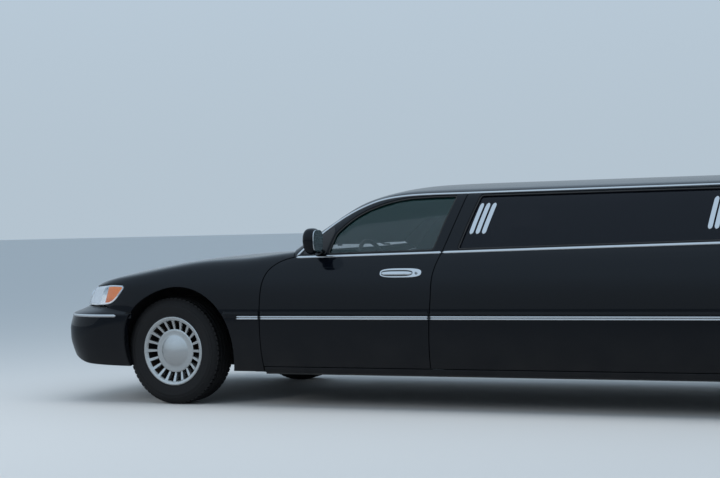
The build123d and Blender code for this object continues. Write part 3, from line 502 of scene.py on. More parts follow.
def sweep(path, up, profile, closed=False, grow=None, index=0):
    # profile points are (across, out) from the path; up gives the outward direction on it
    path, up = np.array(path, float), np.array(up, float)
    ahead = unit(np.roll(path, -1, axis=0) - np.roll(path, 1, axis=0) if closed else np.gradient(path, axis=0))
    up = unit(up - ahead * (up * ahead).sum(axis=1)[:, None])
    across = np.cross(up, ahead)
    size = np.ones(len(path)) if grow is None else np.array(grow, float)
    shape, n = newShape(), len(profile)
    for p, u, c, s in zip(path, up, across, size):
        addPoints(shape, [p + c * a * s + u * o * s for a, o in profile])
    for i in range(len(path) if closed else len(path) - 1):
        ribbon(shape, i * n, (i + 1) % len(path) * n, n, index)
    if not closed:
        addFace(shape, range(n)[::-1], index=index)
        addFace(shape, range((len(path) - 1) * n, len(path) * n), index=index)
    return shape


def tube(radius, count):  # a round section for a sweep
    return oval(radius, radius, count)


def oval(across, out, count):
    angles = np.linspace(0, 2 * math.pi, count, endpoint=False)
    return [(across * math.cos(a), out * math.sin(a)) for a in angles]


def roundSection(width, height, count=10, base=0.0):  # a flattened half-round strip on the surface
    return [(-width / 2, base)] + [(-width / 2 * math.cos(t), base + height * math.sin(t) ** 0.7)
                                   for t in np.linspace(0.18, math.pi - 0.18, count)] + [(width / 2, base)]


def taper(count, length, ends=(True, True)):  # shrink the last few rings of a strip
    t = np.linspace(0, length, count)
    size = np.ones(count)
    for near, used in ((t, ends[0]), (length - t, ends[1])):
        if used:
            size = np.minimum(size, np.sqrt(np.clip(near / 0.012, 0.02, 1)))
    return size


def lathe(profile, count):  # (radius, y) turned about the y axis
    angles = np.linspace(0, 2 * math.pi, count, endpoint=False)
    return turned([profile] * count, angles)


def turned(rows, angles, index=None, closed=False):  # rows[i][k] = (radius, y) at angle i
    shape, n = newShape(), len(rows[0])
    for row, t in zip(rows, angles):
        addPoints(shape, [(r * math.cos(t), y, r * math.sin(t)) for r, y in row])
    count = len(rows)
    for i in range(count):
        j = (i + 1) % count
        for k in range(n if closed else n - 1):
            m = (k + 1) % n
            addFace(shape, (i * n + k, j * n + k, j * n + m, i * n + m), index=index(k, i) if index else 0)
    return shape


def block(low, high, bevel=0.006, index=0):  # a box with rounded edges
    low, high = np.minimum(low, high), np.maximum(low, high)
    bevel = min(bevel, (high - low).min() * 0.45)
    shape, grid = newShape(), {}
    ends = list(product((0, 1), repeat=3))
    for end in ends:
        corner = np.where(end, high, low)
        inward = np.where(end, -bevel, bevel)
        for axis in range(3):
            spot = corner + inward
            spot[axis] = corner[axis]
            grid[(*end, axis)] = addPoints(shape, [spot])

    def quad(keys):
        corners = [grid[k] for k in keys]
        a, b, c = (np.array(shape["points"][i]) for i in corners[:3])
        outward = (a + c) / 2 - (low + high) / 2
        if np.cross(b - a, c - a) @ outward < 0:
            corners = corners[::-1]
        addFace(shape, corners, index=index)

    for axis in range(3):
        p, q = [k for k in range(3) if k != axis]

        def key(s, a, b, face):
            spot = [0, 0, 0]
            spot[axis], spot[p], spot[q] = s, a, b
            return (*spot, face)

        for s in (0, 1):
            quad([key(s, a, b, axis) for a, b in ((0, 0), (1, 0), (1, 1), (0, 1))])
        for a, b in product((0, 1), repeat=2):
            quad([key(s, a, b, face) for s, face in ((0, p), (0, q), (1, q), (1, p))])
    for end in ends:
        quad([(*end, k) for k in range(3)])
    return shape


def prism(corners, y0, y1, bevel=0.008, radius=0.02, index=0):  # an (x, z) outline drawn out along y, edges eased
    loop = roundCorners(np.array(list(corners) + [corners[0]], float), radius)
    loop = resample(loop, 0.012)
    if areaOf(loop) < 0:
        loop = loop[::-1]
    inner = shrink(loop, bevel)
    rows = [(inner, y0), (shrink(loop, bevel * 0.3), y0 + bevel * 0.3), (loop, y0 + bevel), (loop, y1 - bevel),
            (shrink(loop, bevel * 0.3), y1 - bevel * 0.3), (inner, y1)]
    shape, n = newShape(), len(loop)
    for ring, y in rows:
        addPoints(shape, np.column_stack([ring[:, 0], np.full(n, y), ring[:, 1]]))
    for i in range(len(rows) - 1):
        ribbon(shape, (i + 1) * n, i * n, n, index)
    addFace(shape, range(n), index=index)
    addFace(shape, range((len(rows) - 1) * n, len(rows) * n)[::-1], index=index)
    return shape


# Materials. Effects that several finishes share are node groups; the shader stays in the material.

def makeGroup(name, inputs, outputs, wire):  # inputs are names with a number or a colour
    group = bpy.data.node_groups.new(name, "ShaderNodeTree")
    for label, value in inputs.items():
        kind = "NodeSocketColor" if isinstance(value, tuple) else "NodeSocketFloat"
        socket = group.interface.new_socket(name=label, in_out="INPUT", socket_type=kind)
        socket.default_value = value
    for label in outputs:
        kind = "NodeSocketColor" if label == "Colour" else "NodeSocketFloat"
        group.interface.new_socket(name=label, in_out="OUTPUT", socket_type=kind)
    begin, end = group.nodes.new("NodeGroupInput"), group.nodes.new("NodeGroupOutput")
    wire(group, begin, end)
    return group


def node(tree, kind, links=(), **values):
    made = tree.nodes.new(kind)
    for key, value in values.items():
        if key.startswith("in_"):
            made.inputs[int(key[3:])].default_value = value
        else:
            setattr(made, key, value)
    for socket, source in dict(links).items():
        tree.links.new(source, made.inputs[socket])
    return made


def fillInputs(tree, made, values):  # each value is a number, a colour or another node's output
    for socket, value in values.items():
        if isinstance(value, bpy.types.NodeSocket):
            tree.links.new(value, made.inputs[socket])
        else:
            made.inputs[socket].default_value = value


def mixColour(tree, factor, a, b):
    mix = tree.nodes.new("ShaderNodeMix")
    mix.data_type = "RGBA"
    fillInputs(tree, mix, {0: factor, 6: a, 7: b})
    return mix.outputs[2]


def math2(tree, operation, a, b):
    made = tree.nodes.new("ShaderNodeMath")
    made.operation = operation
    fillInputs(tree, made, {0: a, 1: b})
    return made.outputs[0]


def wireFilm(g, begin, end):  # fine haze, road dust near the ground and slight unevenness of a sprayed film
    place3 = node(g, "ShaderNodeTexCoord")
    cloud = node(g, "ShaderNodeTexNoise", {0: place3.outputs["Object"], 2: begin.outputs["Scale"]}, in_3=4.0)
    fine = node(g, "ShaderNodeTexNoise", {0: place3.outputs["Object"]}, in_2=420.0, in_3=2.0)
    split = node(g, "ShaderNodeSeparateXYZ", {0: place3.outputs["Object"]})
    low = node(g, "ShaderNodeMapRange", {0: split.outputs[2]}, in_1=0.55, in_2=0.2, in_3=0.0, in_4=1.0)
    dust = math2(g, "MULTIPLY", math2(g, "MULTIPLY", low.outputs[0], cloud.outputs[0]), begin.outputs["Dust"])
    g.links.new(mixColour(g, dust, begin.outputs["Base"], begin.outputs["Dust Colour"]), end.inputs["Colour"])
    rough = math2(g, "MULTIPLY", cloud.outputs[0], begin.outputs["Haze"])
    total = math2(g, "ADD", rough, begin.outputs["Roughness"])
    g.links.new(math2(g, "ADD", total, math2(g, "MULTIPLY", dust, 0.4)), end.inputs["Roughness"])
    g.links.new(math2(g, "ADD", cloud.outputs[0], math2(g, "MULTIPLY", fine.outputs[0], 0.15)),
                end.inputs["Height"])


filmGroup = makeGroup("sprayedFilm", {"Base": (0, 0, 0, 1), "Roughness": 0.1, "Haze": 0.03, "Dust": 0.3,
                                      "Dust Colour": (0.25, 0.23, 0.2, 1), "Scale": 6.0},
                      ("Colour", "Roughness", "Height"), wireFilm)


def wireGrain(g, begin, end):  # pebbled grain of leather and moulded plastic
    place3 = node(g, "ShaderNodeTexCoord")
    cells = node(g, "ShaderNodeTexVoronoi", {0: place3.outputs["Object"], 2: begin.outputs["Scale"]})
    cells.feature = "SMOOTH_F1"
    cells.inputs["Smoothness"].default_value = 0.6
    creases = node(g, "ShaderNodeTexNoise", {0: place3.outputs["Object"]}, in_2=9.0, in_3=5.0)
    tone = math2(g, "MULTIPLY", creases.outputs[0], begin.outputs["Variation"])
    g.links.new(mixColour(g, tone, begin.outputs["Base"], begin.outputs["Worn Colour"]), end.inputs["Colour"])
    g.links.new(math2(g, "ADD", cells.outputs[0], math2(g, "MULTIPLY", creases.outputs[0], 0.5)),
                end.inputs["Height"])
    g.links.new(math2(g, "ADD", begin.outputs["Roughness"], math2(g, "MULTIPLY", tone, 0.35)),
                end.inputs["Roughness"])


grainGroup = makeGroup("pebbledGrain", {"Base": (0, 0, 0, 1), "Worn Colour": (0.1, 0.1, 0.1, 1),
                                        "Roughness": 0.5, "Variation": 0.4, "Scale": 500.0},
                       ("Colour", "Roughness", "Height"), wireGrain)


def wireMetal(g, begin, end):  # cast or rolled metal with stains and a light tooth
    place3 = node(g, "ShaderNodeTexCoord")
    stain = node(g, "ShaderNodeTexNoise", {0: place3.outputs["Object"], 2: begin.outputs["Scale"]}, in_3=6.0)
    tooth = node(g, "ShaderNodeTexNoise", {0: place3.outputs["Object"]}, in_2=260.0, in_3=3.0)
    ramp = node(g, "ShaderNodeMapRange", {0: stain.outputs[0]}, in_1=0.48, in_2=0.68)
    amount = math2(g, "MULTIPLY", ramp.outputs[0], begin.outputs["Stain"])
    g.links.new(mixColour(g, amount, begin.outputs["Base"], begin.outputs["Stain Colour"]), end.inputs["Colour"])
    g.links.new(math2(g, "ADD", begin.outputs["Roughness"], math2(g, "MULTIPLY", amount, 0.35)),
                end.inputs["Roughness"])
    g.links.new(math2(g, "ADD", tooth.outputs[0], math2(g, "MULTIPLY", amount, 0.6)), end.inputs["Height"])


metalGroup = makeGroup("stainedMetal", {"Base": (0, 0, 0, 1), "Stain Colour": (0.12, 0.06, 0.03, 1),
                                        "Roughness": 0.4, "Stain": 0.4, "Scale": 7.0},
                       ("Colour", "Roughness", "Height"), wireMetal)


def colour(value, alpha=1.0):
    return (*value, alpha) if len(value) == 3 else tuple(value)


def finish(name, group, base, rough, bump=0.0, distance=0.0004, shader=None, **inputs):
    m = bpy.data.materials.new(name)
    m.use_nodes = True
    tree = m.node_tree
    surface = tree.nodes["Principled BSDF"]
    effect = node(tree, "ShaderNodeGroup")
    effect.node_tree = group
    effect.inputs["Base"].default_value = colour(base)
    effect.inputs["Roughness"].default_value = rough
    for key, value in inputs.items():
        label = "".join(" " + c if c.isupper() else c for c in key).title().replace("  ", " ")
        effect.inputs[label].default_value = colour(value) if isinstance(value, tuple) else value
    tree.links.new(effect.outputs["Colour"], surface.inputs["Base Color"])
    tree.links.new(effect.outputs["Roughness"], surface.inputs["Roughness"])
    if bump:
        relief = node(tree, "ShaderNodeBump", {"Height": effect.outputs["Height"]})
        relief.inputs["Strength"].default_value = bump
        relief.inputs["Distance"].default_value = distance
        tree.links.new(relief.outputs[0], surface.inputs["Normal"])
    for key, value in (shader or {}).items():
        surface.inputs[key].default_value = value
    m.diffuse_color = colour(base)
    return m


# the slight blue in the black paint's base colour is a painted reflection of blue sky
paint = finish("blackPaint", filmGroup, (0.0015, 0.0024, 0.0044), 0.2, dust=0.06, haze=0.03, bump=0.02,
               distance=0.0002, shader={"Coat Weight": 0.6, "Coat Roughness": 0.015, "Specular IOR Level": 0.06})
underseal = finish("underseal", metalGroup, (0.018, 0.018, 0.018), 0.62, stain=0.35, bump=0.35,
                   stainColour=(0.06, 0.05, 0.042))
chassisPaint = finish("chassisPaint", metalGroup, (0.022, 0.022, 0.023), 0.48, stain=0.4, bump=0.2,
                      stainColour=(0.07, 0.045, 0.03))
castIron = finish("castIron", metalGroup, (0.1, 0.095, 0.09), 0.6, stain=0.55, bump=0.5,
                  stainColour=(0.09, 0.05, 0.03), shader={"Metallic": 0.5})
steel = finish("dullSteel", metalGroup, (0.36, 0.35, 0.33), 0.42, stain=0.5, bump=0.2,
               stainColour=(0.16, 0.11, 0.07), shader={"Metallic": 0.9})
chrome = finish("chrome", metalGroup, (0.86, 0.87, 0.88), 0.05, stain=0.06, scale=14.0,
                stainColour=(0.6, 0.6, 0.6), shader={"Metallic": 1.0})
satinSilver = finish("silverLacquer", metalGroup, (0.66, 0.68, 0.68), 0.24, stain=0.06, scale=5.0,
                     stainColour=(0.42, 0.42, 0.4), shader={"Metallic": 0.85, "Coat Weight": 0.5,
                                                              "Coat Roughness": 0.08})
blackTrim = finish("blackTrim", grainGroup, (0.012, 0.012, 0.013), 0.42, variation=0.3, scale=700.0, bump=0.12,
                   wornColour=(0.04, 0.04, 0.042))
dashPlastic = finish("mouldedPlastic", grainGroup, (0.03, 0.031, 0.034), 0.52, variation=0.3, scale=520.0,
                     bump=0.25, wornColour=(0.055, 0.056, 0.06))
sealRubber = finish("sealRubber", grainGroup, (0.01, 0.01, 0.011), 0.6, variation=0.5, scale=300.0, bump=0.15,
                    wornColour=(0.035, 0.035, 0.035))
leather = finish("grainedLeather", grainGroup, (0.03, 0.03, 0.034), 0.38, variation=0.45, scale=420.0, bump=0.3,
                 wornColour=(0.075, 0.072, 0.07), shader={"Specular IOR Level": 0.45})
carpet = finish("cutPileCarpet", grainGroup, (0.026, 0.026, 0.029), 0.95, variation=0.6, scale=900.0, bump=0.9,
                distance=0.002, wornColour=(0.07, 0.068, 0.065), shader={"Sheen Weight": 0.4})
headCloth = finish("headliningCloth", grainGroup, (0.3, 0.29, 0.27), 0.9, variation=0.3, scale=900.0, bump=0.3,
                   wornColour=(0.36, 0.35, 0.32), shader={"Sheen Weight": 0.25})
print("finishes ready")


# Body panels

seams = {
    "frontDoorFront": [(2.514, 0.262), (2.5165, 0.4), (2.5155, 0.6), (2.509, 0.72), (2.492, 0.82), (2.455, 0.885),
                       (2.4, 0.925), (2.35, 0.945), (2.3, 0.956)],
    "frontDoorTop": [(2.3, 0.956), (2.235, 1.02), (2.151, 1.099), (2.06, 1.172), (1.955, 1.232), (1.87, 1.268),
                     (1.796, 1.296), (1.7, 1.315), (1.6, 1.326), (1.402, 1.331), (1.177, 1.331)],
    "frontDoorRear": [(1.177, 1.331), (1.217, 1.15), (1.264, 0.98), (1.298, 0.84), (1.305, 0.69),
                      (1.315, 0.58), (1.329, 0.262)],
    "rearDoorFront": [(-1.728, 0.262), (-1.728, 0.575), (-1.734, 0.76), (-1.758, 0.978), (-1.79, 1.331)],
    "rearDoorTop": [(-1.79, 1.331), (-2.24, 1.331)],
    "rearDoorBack": [(-2.24, 1.331), (-2.36, 1.293), (-2.49, 1.229), (-2.62, 1.115), (-2.735, 0.985)],
    "sillZ": 0.262, "dripY": 0.645, "hoodHalf": 0.7105, "hoodRear": 2.603, "lidHalf": 0.692, "lidFront": -3.246,
    "frontArch": (3.145, 0.357, 0.417), "rearArch": (-2.81, 0.36, 0.402),
    "archBulge": 0.027, "rearDoorArch": 0.46, "ledge": 0.604, "bumperBase": 0.246, "rearBumperBase": 0.288,
    "rockerBase": 0.223}


def arcPoints(centre, radius, start, end, step=3):
    angles = np.radians(np.linspace(start, end, max(int(abs(end - start) / step), 2)))
    return np.column_stack([centre[0] + radius * np.cos(angles), centre[1] + radius * np.sin(angles)])


def archAngle(arch, z, forward):
    cz, r = arch[1:]
    angle = math.degrees(math.asin((z - cz) / r))
    if forward and arch is frontArch:
        for _ in range(30):
            angle = math.degrees(math.asin((z - cz) / bulgedRadius(angle)))
    return angle if forward else 180 - angle


def bulgedRadius(angle):  # the front wheel opening reaches further forward above the bumper
    return frontArch[2] + seams["archBulge"] * np.exp(-((angle - 33) / 22) ** 2)


def frontArchPoints(start, end, extra=0.0, step=3):
    angles = np.linspace(start, end, max(int(abs(end - start) / step), 2))
    radius, turn = bulgedRadius(angles) + extra, np.radians(angles)
    return np.column_stack([frontArch[0] + radius * np.cos(turn), frontArch[1] + radius * np.sin(turn)])


frontArch, rearArch = seams["frontArch"], seams["rearArch"]
doorFrontSeam = smoothLine(seams["frontDoorFront"])
doorTopSeam = smoothLine(seams["frontDoorTop"])
doorRearSeam = np.vstack([smoothLine(seams["frontDoorRear"][:-1]), seams["frontDoorRear"][-1:]])
rearFrontSeam = np.vstack([straightLine(*seams["rearDoorFront"][:2]), smoothLine(seams["rearDoorFront"][1:])])
rearDoorBackSeam = np.vstack([smoothLine(seams["rearDoorBack"]),
                              arcPoints(rearArch[:2], seams["rearDoorArch"], 74, 3),
                              [(-2.318, 0.262)]])
sillZ = seams["sillZ"]

windowLoops = {
    "front": np.vstack([straightLine((2.066, 0.973), (2.034, 1.1)),
                        smoothLine([(2.034, 1.1), (1.93, 1.195), (1.812, 1.256), (1.69, 1.293), (1.56, 1.313)]),
                        straightLine((1.56, 1.313), (1.4, 1.318), (1.243, 1.318), (1.329, 0.985),
                                     (2.066, 0.973))]),
    "rear": np.vstack([straightLine((-1.812, 1.016), (-1.853, 1.318), (-2.235, 1.318)),
                       smoothLine([(-2.235, 1.318), (-2.34, 1.276), (-2.455, 1.195), (-2.56, 1.085),
                                   (-2.605, 1.016)]),
                       straightLine((-2.605, 1.016), (-1.812, 1.016))]),
    "stretchA": straightLine((1.168, 0.988), (1.086, 1.318), (-0.545, 1.318), (-0.552, 1.013), (1.168, 0.988)),
    "stretchB": straightLine((-0.612, 1.014), (-0.605, 1.318), (-1.658, 1.318), (-1.622, 1.016), (-0.612, 1.014))}


def roundCorners(loop, radius=0.028):  # soften the corners of a closed (u, v) outline
    loop = resample(np.array(loop, float), 0.004)
    reach = max(int(radius / 0.008), 1)
    for _ in range(2):
        loop = sum(np.roll(loop, k, axis=0) for k in range(-reach, reach + 1)) / (2 * reach + 1)
    return loop


windowLoops = {name: roundCorners(loop) for name, loop in windowLoops.items()}

frontDoorLoop = np.vstack([doorFrontSeam, doorTopSeam[1:], doorRearSeam[1:],
                           straightLine((1.329, sillZ), (2.514, sillZ))[1:-1]])
rearDoorLoop = np.vstack([rearFrontSeam, straightLine(*seams["rearDoorTop"])[1:], rearDoorBackSeam[1:],
                          straightLine((-2.318, sillZ), (-1.728, sillZ))[1:-1]])
stretchLoop = np.vstack([doorRearSeam[::-1], straightLine((1.177, 1.331), (-1.79, 1.331))[1:],
                         rearFrontSeam[::-1][1:], straightLine((-1.728, sillZ), (1.329, sillZ))[1:-1]])

for sideName, sign in bothSides:
    for where, loop in (("front", frontDoorLoop), ("rear", rearDoorLoop)):
        skin = sided(panel(side, loop, [windowLoops[where]], thick=0.03), sign)
        door = f"door_{where}_{sideName}"
        place(f"{where}Door.{sideName}", skin, [paint, blackTrim], door, "paint", [door])
stretch = panel(side, stretchLoop, [windowLoops["stretchA"], windowLoops["stretchB"]], thick=0.014)
place("stretchSides", mirrored(stretch), [paint, underseal], finish="paint", stands=["stretch_sides"])
print("doors and sides")

hoodHalf, hoodRear = seams["hoodHalf"], seams["hoodRear"]
lampTop = [(58.1, 0.793), (54.6, 0.796), (48.9, 0.789), (44.0, 0.783), (38.5, 0.775), (28.0, 0.762), (20.0, 0.752),
           (14.5, 0.744)]
lampRear = [(58.1, 0.793), (58.9, 0.782), (58.0, 0.742), (56.0, 0.697), (54.5, 0.675), (52.6, 0.662)]
lampLow = [(52.6, 0.662), (46.7, 0.654), (38.5, 0.647), (28.0, 0.643), (14.5, 0.642)]


def degrees(points):  # (degrees, height) points with their angles in radians
    return np.array([(math.radians(a), z) for a, z in points])


lampTopLine = smoothLine(degrees(lampTop), 0.01)
lampRearLine = smoothLine(degrees(lampRear), 0.01)
lampLowLine = smoothLine(degrees(lampLow), 0.01)
lampTop3 = noseView["cast"](lampTopLine)
onHoodLine = np.interp(hoodHalf, lampTop3[::-1, 1], np.arange(len(lampTop3))[::-1])
lampSplit = int(onHoodLine)  # lamp top points beside the fender come before this one
hoodCorner = lampTop3[lampSplit]
hoodSide = bodyTop["cast"](straightLine((hoodRear, hoodHalf), (hoodCorner[0] - 0.004, hoodHalf)))
fenderBack = bodySide["cast"](doorFrontSeam)
fenderTop = bodyTop["cast"](smoothLine([(2.3, fenderBack[-1, 1]), (2.322, 0.83), (2.338, 0.77),
                                        (2.345, hoodHalf)]))
ledgeZ, skirtZ = seams["ledge"], 0.2255
archFront = archAngle(frontArch, ledgeZ + 0.004, True)
archBack = archAngle(frontArch, skirtZ, False)
archCurve = bodySide["cast"](frontArchPoints(archFront, archBack))
ledgeStart = noseView["cast"](np.array([(math.radians(52.6), 0.662), (math.radians(51.8), 0.64)]))[1]
fenderLow = bodySide["cast"](straightLine((ledgeStart[0], ledgeStart[2]), (3.6, 0.612),
                                          (archCurve[0, 0], archCurve[0, 2])))
fenderLoop = outline(bodySection, fenderBack, fenderTop[1:],
                     bodyTop["cast"](straightLine((2.345, hoodHalf), (hoodRear, hoodHalf)))[1:-1], hoodSide,
                     lampTop3[lampSplit:0:-1], noseView["cast"](lampRearLine), ledgeStart[None],
                     fenderLow[1:-1], archCurve,
                     bodySide["cast"](straightLine((archCurve[-1, 0], skirtZ), (2.514, skirtZ)))[1:])
fender = panel(bodySection, fenderLoop, thick=0.007)
place("frontFenders", mirrored(fender), [paint, underseal], finish="paint", stands=["front_fenders"])

hoodFrontLine = lampTopLine[lampSplit:]
noseEdge = noseView["cast"](np.vstack([hoodFrontLine, degrees([(10, 0.7395), (5, 0.737), (0, 0.7365)])]))
halfHood = np.vstack([noseEdge[::-1], hoodSide[::-1], bodyTop["cast"](straightLine((hoodRear, hoodHalf),
                                                                                  (hoodRear, 0.0)))[1:]])
flatHood = hoodView["flat"](halfHood)
hood = panel(hoodView, bothHalves(flatHood), thick=0.022, step=0.034)
place("hood", hood, [paint, underseal], "hood", "paint", ["hood"])

cowlLoop = np.vstack([straightLine((hoodRear, -hoodHalf), (hoodRear, hoodHalf)),
                      straightLine((hoodRear, hoodHalf), (2.345, hoodHalf))[1:],
                      smoothLine([(2.345, hoodHalf), (2.44, 0.45), (2.485, 0.0), (2.44, -0.45),
                                  (2.345, -hoodHalf)])[1:-1],
                      straightLine((2.345, -hoodHalf), (hoodRear, -hoodHalf))[:-1]])
cowl = panel(bodyTop, cowlLoop, thick=0.01, sink=0.004)
print("front body")

dripY = seams["dripY"]
dripLine = smoothLine([(2.3, 0.885), (2.235, 0.842), (2.151, 0.797), (2.06, 0.752), (1.955, 0.712),
                       (1.87, 0.684), (1.796, 0.667), (1.7, 0.655), (1.6, 0.649), (1.402, dripY)])
screenTop = smoothLine([(1.938, 0.0), (1.925, 0.25), (1.885, 0.45), (1.842, 0.575)])
screenSide = smoothLine([(1.842, 0.575), (1.98, 0.618), (2.13, 0.665), (2.26, 0.712), (2.335, 0.745)])
glassTop = smoothLine([(-2.5, 0.575), (-2.525, 0.4), (-2.545, 0.2), (-2.552, 0.0)])
topLoopHalf = np.vstack([
    screenTop, screenSide[1:], straightLine((2.335, 0.745), (2.338, 0.8), (2.3, 0.885))[1:], dripLine[1:],
    straightLine((1.402, dripY), (-2.245, dripY))[1:], straightLine((-2.245, dripY), (-2.5, 0.575))[1:],
    glassTop[1:]])
roof = panel(top, bothHalves(topLoopHalf, (1, -1)), thick=0.012, step=0.05)
place("roof", roof, [paint, headCloth], finish="paint", stands=["roof_panel"])

lidHalf, lidFront = seams["lidHalf"], seams["lidFront"]
glassEdge = np.vstack([smoothLine([(-2.5, 0.575), (-2.7, 0.628), (-2.9, 0.683), (-3.055, 0.728)]),
                       smoothLine([(-3.055, 0.728), (-3.095, 0.722), (-3.12, lidHalf)])[1:]])
lidBackX = -4.06
quarterTop = np.vstack([straightLine((-2.245, dripY), (-2.5, 0.575)), glassEdge[1:]])
lidSide = bodyTop["cast"](straightLine((-3.12, lidHalf), (lidBackX, lidHalf)))
tailCorner, tailLampTop, tailLampFront = (
    tailView["cast"](straightLine(*degrees(ends), step=0.01))
    for ends in ([(32.6, 0.9), (32.1, 0.853)], [(32.1, 0.853), (47.0, 0.842)], [(47.0, 0.842), (43.5, 0.606)]))
rearArchBack = archAngle(rearArch, ledgeZ, False)
rearArchCurve = bodySide["cast"](arcPoints(rearArch[:2], rearArch[2], rearArchBack,
                                           archAngle(rearArch, sillZ, True)))
quarterLow = bodySide["cast"](straightLine((tailLampFront[-1, 0], 0.606), (rearArchCurve[0, 0], 0.606)))
quarterLoop = outline(section, side["cast"](rearDoorBackSeam[::-1]), top["cast"](quarterTop), lidSide[1:],
                      tailCorner, tailLampTop[1:], tailLampFront[1:], quarterLow[1:-1], rearArchCurve,
                      side["cast"](straightLine((rearArchCurve[-1, 0], sillZ), (-2.318, sillZ)))[1:-1])
quarter = panel(section, quarterLoop, thick=0.01)
place("quarterPanels", mirrored(quarter), [paint, underseal], finish="paint", stands=["quarter_panels"])

lidEdge = tailView["cast"](np.vstack([straightLine(*degrees([(32.3, 0.89), (30.8, 0.694)]), step=0.01),
                                      straightLine(*degrees([(30.8, 0.694), (0, 0.694)]))[1:]]))
lidHalfLoop = np.vstack([bodyTop["cast"](straightLine((lidFront, 0.0), (lidFront, lidHalf), (lidBackX, lidHalf))),
                         lidEdge])
flatLid = lidView["flat"](lidHalfLoop)
lid = panel(lidView, bothHalves(flatLid), thick=0.01, step=0.034)
place("bootLid", lid, [paint, underseal], "trunk_lid", "paint", ["trunk_lid"])
deckLoop = np.vstack([straightLine((lidFront, -lidHalf), (-3.12, -lidHalf)),
                      smoothLine([(-3.12, -lidHalf), (-3.165, -0.45), (-3.195, 0.0), (-3.165, 0.45),
                                  (-3.12, lidHalf)])[1:],
                      straightLine((-3.12, lidHalf), (lidFront, lidHalf), (lidFront, -lidHalf))[1:-1]])
deck = panel(bodyTop, deckLoop, thick=0.008)
place("rearDeck", deck, [paint, underseal], finish="paint")
wallTop = bodyTop["cast"](straightLine((-3.15, 0.7), (-4.03, 0.7)))[::6] - [0, 0, 0.0105]
wallLine = [(-4.03, 0.655), (-3.15, 0.655)] + [(x, z) for x, _, z in wallTop]
bootSides = joined(prism(wallLine, 0.696, 0.704, 0.002, 0.004),
                   block((-4.03, 0.669, 0.656), (-3.15, 0.7, 0.664)))
place("bootSides", mirrored(bootSides), underseal, finish="underseal")
print("roof and rear body")

bumperSide, bumperTopZ = sideView(bumperField), ledgeZ - 0.002


def bumperOutline(arch, low):  # from the wheel opening's edge and the lower edge, nose or tail in the middle
    return bothHalves(np.vstack([straightLine((0.0, bumperTopZ), arch[0]), arch[1:], low[1:]]))


bumperArch = bumperFront["flat"](bumperSide["cast"](
    frontArchPoints(archAngle(frontArch, bumperTopZ, True), archAngle(frontArch, seams["bumperBase"], True))))
bumperLow = smoothLine([bumperArch[-1], *degrees([(52, 0.251), (45, 0.268), (38, 0.304), (31, 0.333), (14, 0.352),
                                                  (0, 0.356)])], 0.02)
around = np.linspace(0, 2 * math.pi, 61)
intakeLoop = np.column_stack([math.radians(21) * rounded(np.cos(around), 0.22),
                              0.4035 + 0.0175 * rounded(np.sin(around), 0.55)])
bumper = panel(bumperFront, bumperOutline(bumperArch, bumperLow), [intakeLoop], rim=0.008, thick=0.05, step=0.04)
intake = panel(bumperFront, intakeLoop, rim=0.002, thick=0.006, gap=-0.006, step=0.05, edge=0.02, sink=0.043,
               index=(0, 0))
rearBumperArch = bumperRear["flat"](bumperSide["cast"](
    arcPoints(rearArch[:2], rearArch[2], archAngle(rearArch, bumperTopZ, False),
              archAngle(rearArch, seams["rearBumperBase"], False))))
rearBumperLow = straightLine(rearBumperArch[-1], *degrees([(40, 0.292), (0, 0.296)]))
rearBumper = panel(bumperRear, bumperOutline(rearBumperArch, rearBumperLow), rim=0.01, thick=0.05, step=0.04)


def ledgeShape(upperView, upperZ, lowerView, angles, dropZ):  # sloping shelf from the body to the bumper
    count = len(angles)
    high = upperView["cast"](np.column_stack([angles, upperZ]))
    low = lowerView["cast"](np.column_stack([angles, np.full(count, dropZ)]))
    shape = newShape()
    steps = [(0.0, 0.0), (0.05, 0.16), (0.5, 0.58), (0.92, 0.92), (1.0, 1.04)]
    for a, b in zip(high, low):
        rows = [a * (1 - s) + b * s + np.array([0, 0, (a[2] - b[2]) * (s - t)]) for s, t in steps]
        backX, backY = a[0] * 0.992, a[1] * 0.985
        rows += [(b[0], b[1], dropZ - 0.03), (backX, backY, dropZ - 0.03), (backX, backY, a[2])]
        addPoints(shape, rows)
    n = len(rows)
    for i in range(count - 1):
        ribbon(shape, (i + 1) * n, i * n, n)
    addFace(shape, range(n))
    addFace(shape, range((count - 1) * n, count * n)[::-1])
    return shape


ledgeEnd = math.degrees(bumperArch[0, 0]) - 1.8
ledgeAngles = np.radians(np.linspace(-ledgeEnd, ledgeEnd, 110))
ledgeTopZ = np.interp(np.abs(np.degrees(ledgeAngles)), [0, 16, 38, 52, ledgeEnd],
                      [0.612, 0.64, 0.645, 0.64, 0.613])
frontLedge = ledgeShape(noseView, ledgeTopZ, bumperFront, ledgeAngles, 0.6)
place("frontBumper", joined(bumper, frontLedge), [paint, underseal], finish="paint", stands=["front_bumper"])
place("bumperIntake", intake, blackTrim, finish="trim_plastic")
rearAngles = np.radians(np.linspace(-60, 60, 90))
rearLedge = ledgeShape(tailView, np.full(len(rearAngles), 0.608), bumperRear, rearAngles, 0.6)
place("rearBumper", joined(rearBumper, rearLedge), [paint, underseal], finish="paint", stands=["rear_bumper"])
rockerLow, rockerHigh = seams["rockerBase"], sillZ - 0.0015
rockerLoop = straightLine((2.511, rockerHigh), (-2.335, rockerHigh), (-2.335, rockerLow), (2.511, rockerLow),
                          (2.511, rockerHigh))[:-1]
rocker = panel(bodySide, rockerLoop, thick=0.006, gap=0.0012, step=0.05)
place("rockers", mirrored(rocker), [paint, underseal], finish="paint")
print("bumpers and rockers")


# Glass and seals

def grow(loop, distance):  # move a closed outline outward
    return shrink(loop if areaOf(loop) > 0 else loop[::-1], -distance)


